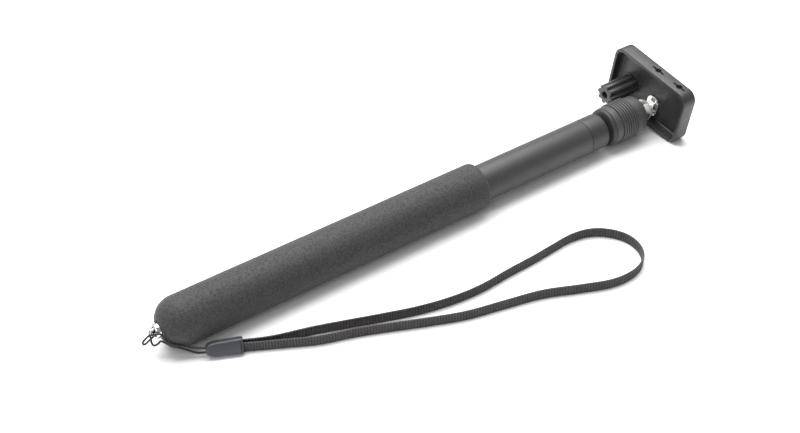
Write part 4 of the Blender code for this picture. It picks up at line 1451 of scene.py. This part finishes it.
def make_knob_washer():
    low, high = local_box("knob_washer", HEAD)
    bore, radius = 0.00345, 0.005
    profile = [(low.z, bore), (low.z, radius), (high.z, radius), (high.z, bore)]
    finish_turned("knob_washer_turned", "knob_washer", eased(profile, 0.0001, 2), KNOB, 48)


make_screw()
make_knob_washer()

# %% [markdown]
# ## What stays as designed
# The sleeves, plugs, the nut and the clip are sealed inside, so their plain solids stay. They
# still get the finish that the record names, because a stick that is cut open shows them.

# %% Finish the inner solids
kept = [name for name, node in frame["nodes"].items() if not node.hide_render]
for name in kept:
    node = frame["nodes"][name]
    node.data.materials.clear()
    node.data.materials.append(MATERIALS[SLOT_OF[name]])
    node.data.shade_smooth()
print("kept as designed:", kept)

# %% [markdown]
# ## Floor and light
# The stick lies on a plain white sweep. A large soft box hangs over its far side, and makes the
# long highlight down the grip and the soft shadow on the near side. A much weaker one fills
# from the wrist end, and an even pale world keeps the plating bright.


# %% Floor, world and soft boxes
FLOOR_HALF = 3.0
WORLD_STRENGTH = 0.34


def add_softbox(name, power, size, place):
    """A rectangular soft box that faces the middle of the stick."""
    light = bpy.data.lights.new(name, "AREA")
    light.shape = "RECTANGLE"
    light.size, light.size_y = size
    light.energy = power
    lamp = add_object(name, light)
    lamp.location = place
    lamp.rotation_euler = (-Vector(place)).to_track_quat("-Z", "Y").to_euler()


corners = [(-FLOOR_HALF, -FLOOR_HALF, 0), (FLOOR_HALF, -FLOOR_HALF, 0), (FLOOR_HALF, FLOOR_HALF, 0),
           (-FLOOR_HALF, FLOOR_HALF, 0)]
floor_mesh = bpy.data.meshes.new("floor")
floor_mesh.from_pydata(corners, [], [(0, 1, 2, 3)])
paper = bpy.data.materials.new("paper_sweep")
paper.use_nodes = True
paper.node_tree.nodes["Principled BSDF"].inputs["Base Color"].default_value = (0.93, 0.93, 0.93, 1)
paper.node_tree.nodes["Principled BSDF"].inputs["Roughness"].default_value = 0.9
floor_mesh.materials.append(paper)
add_object("floor", floor_mesh)

world = bpy.data.worlds.new("Studio")
world.use_nodes = True
world.node_tree.nodes["Background"].inputs["Color"].default_value = (1, 1, 1, 1)
world.node_tree.nodes["Background"].inputs["Strength"].default_value = WORLD_STRENGTH
bpy.context.scene.world = world
add_softbox("Key softbox", power=31, size=(1.5, 1.1), place=(0.12, 0.40, 0.95))
add_softbox("Fill softbox", power=3, size=(0.9, 0.6), place=(-0.8, -0.4, 0.8))
print("floor", 2 * FLOOR_HALF, "m wide, two soft boxes")
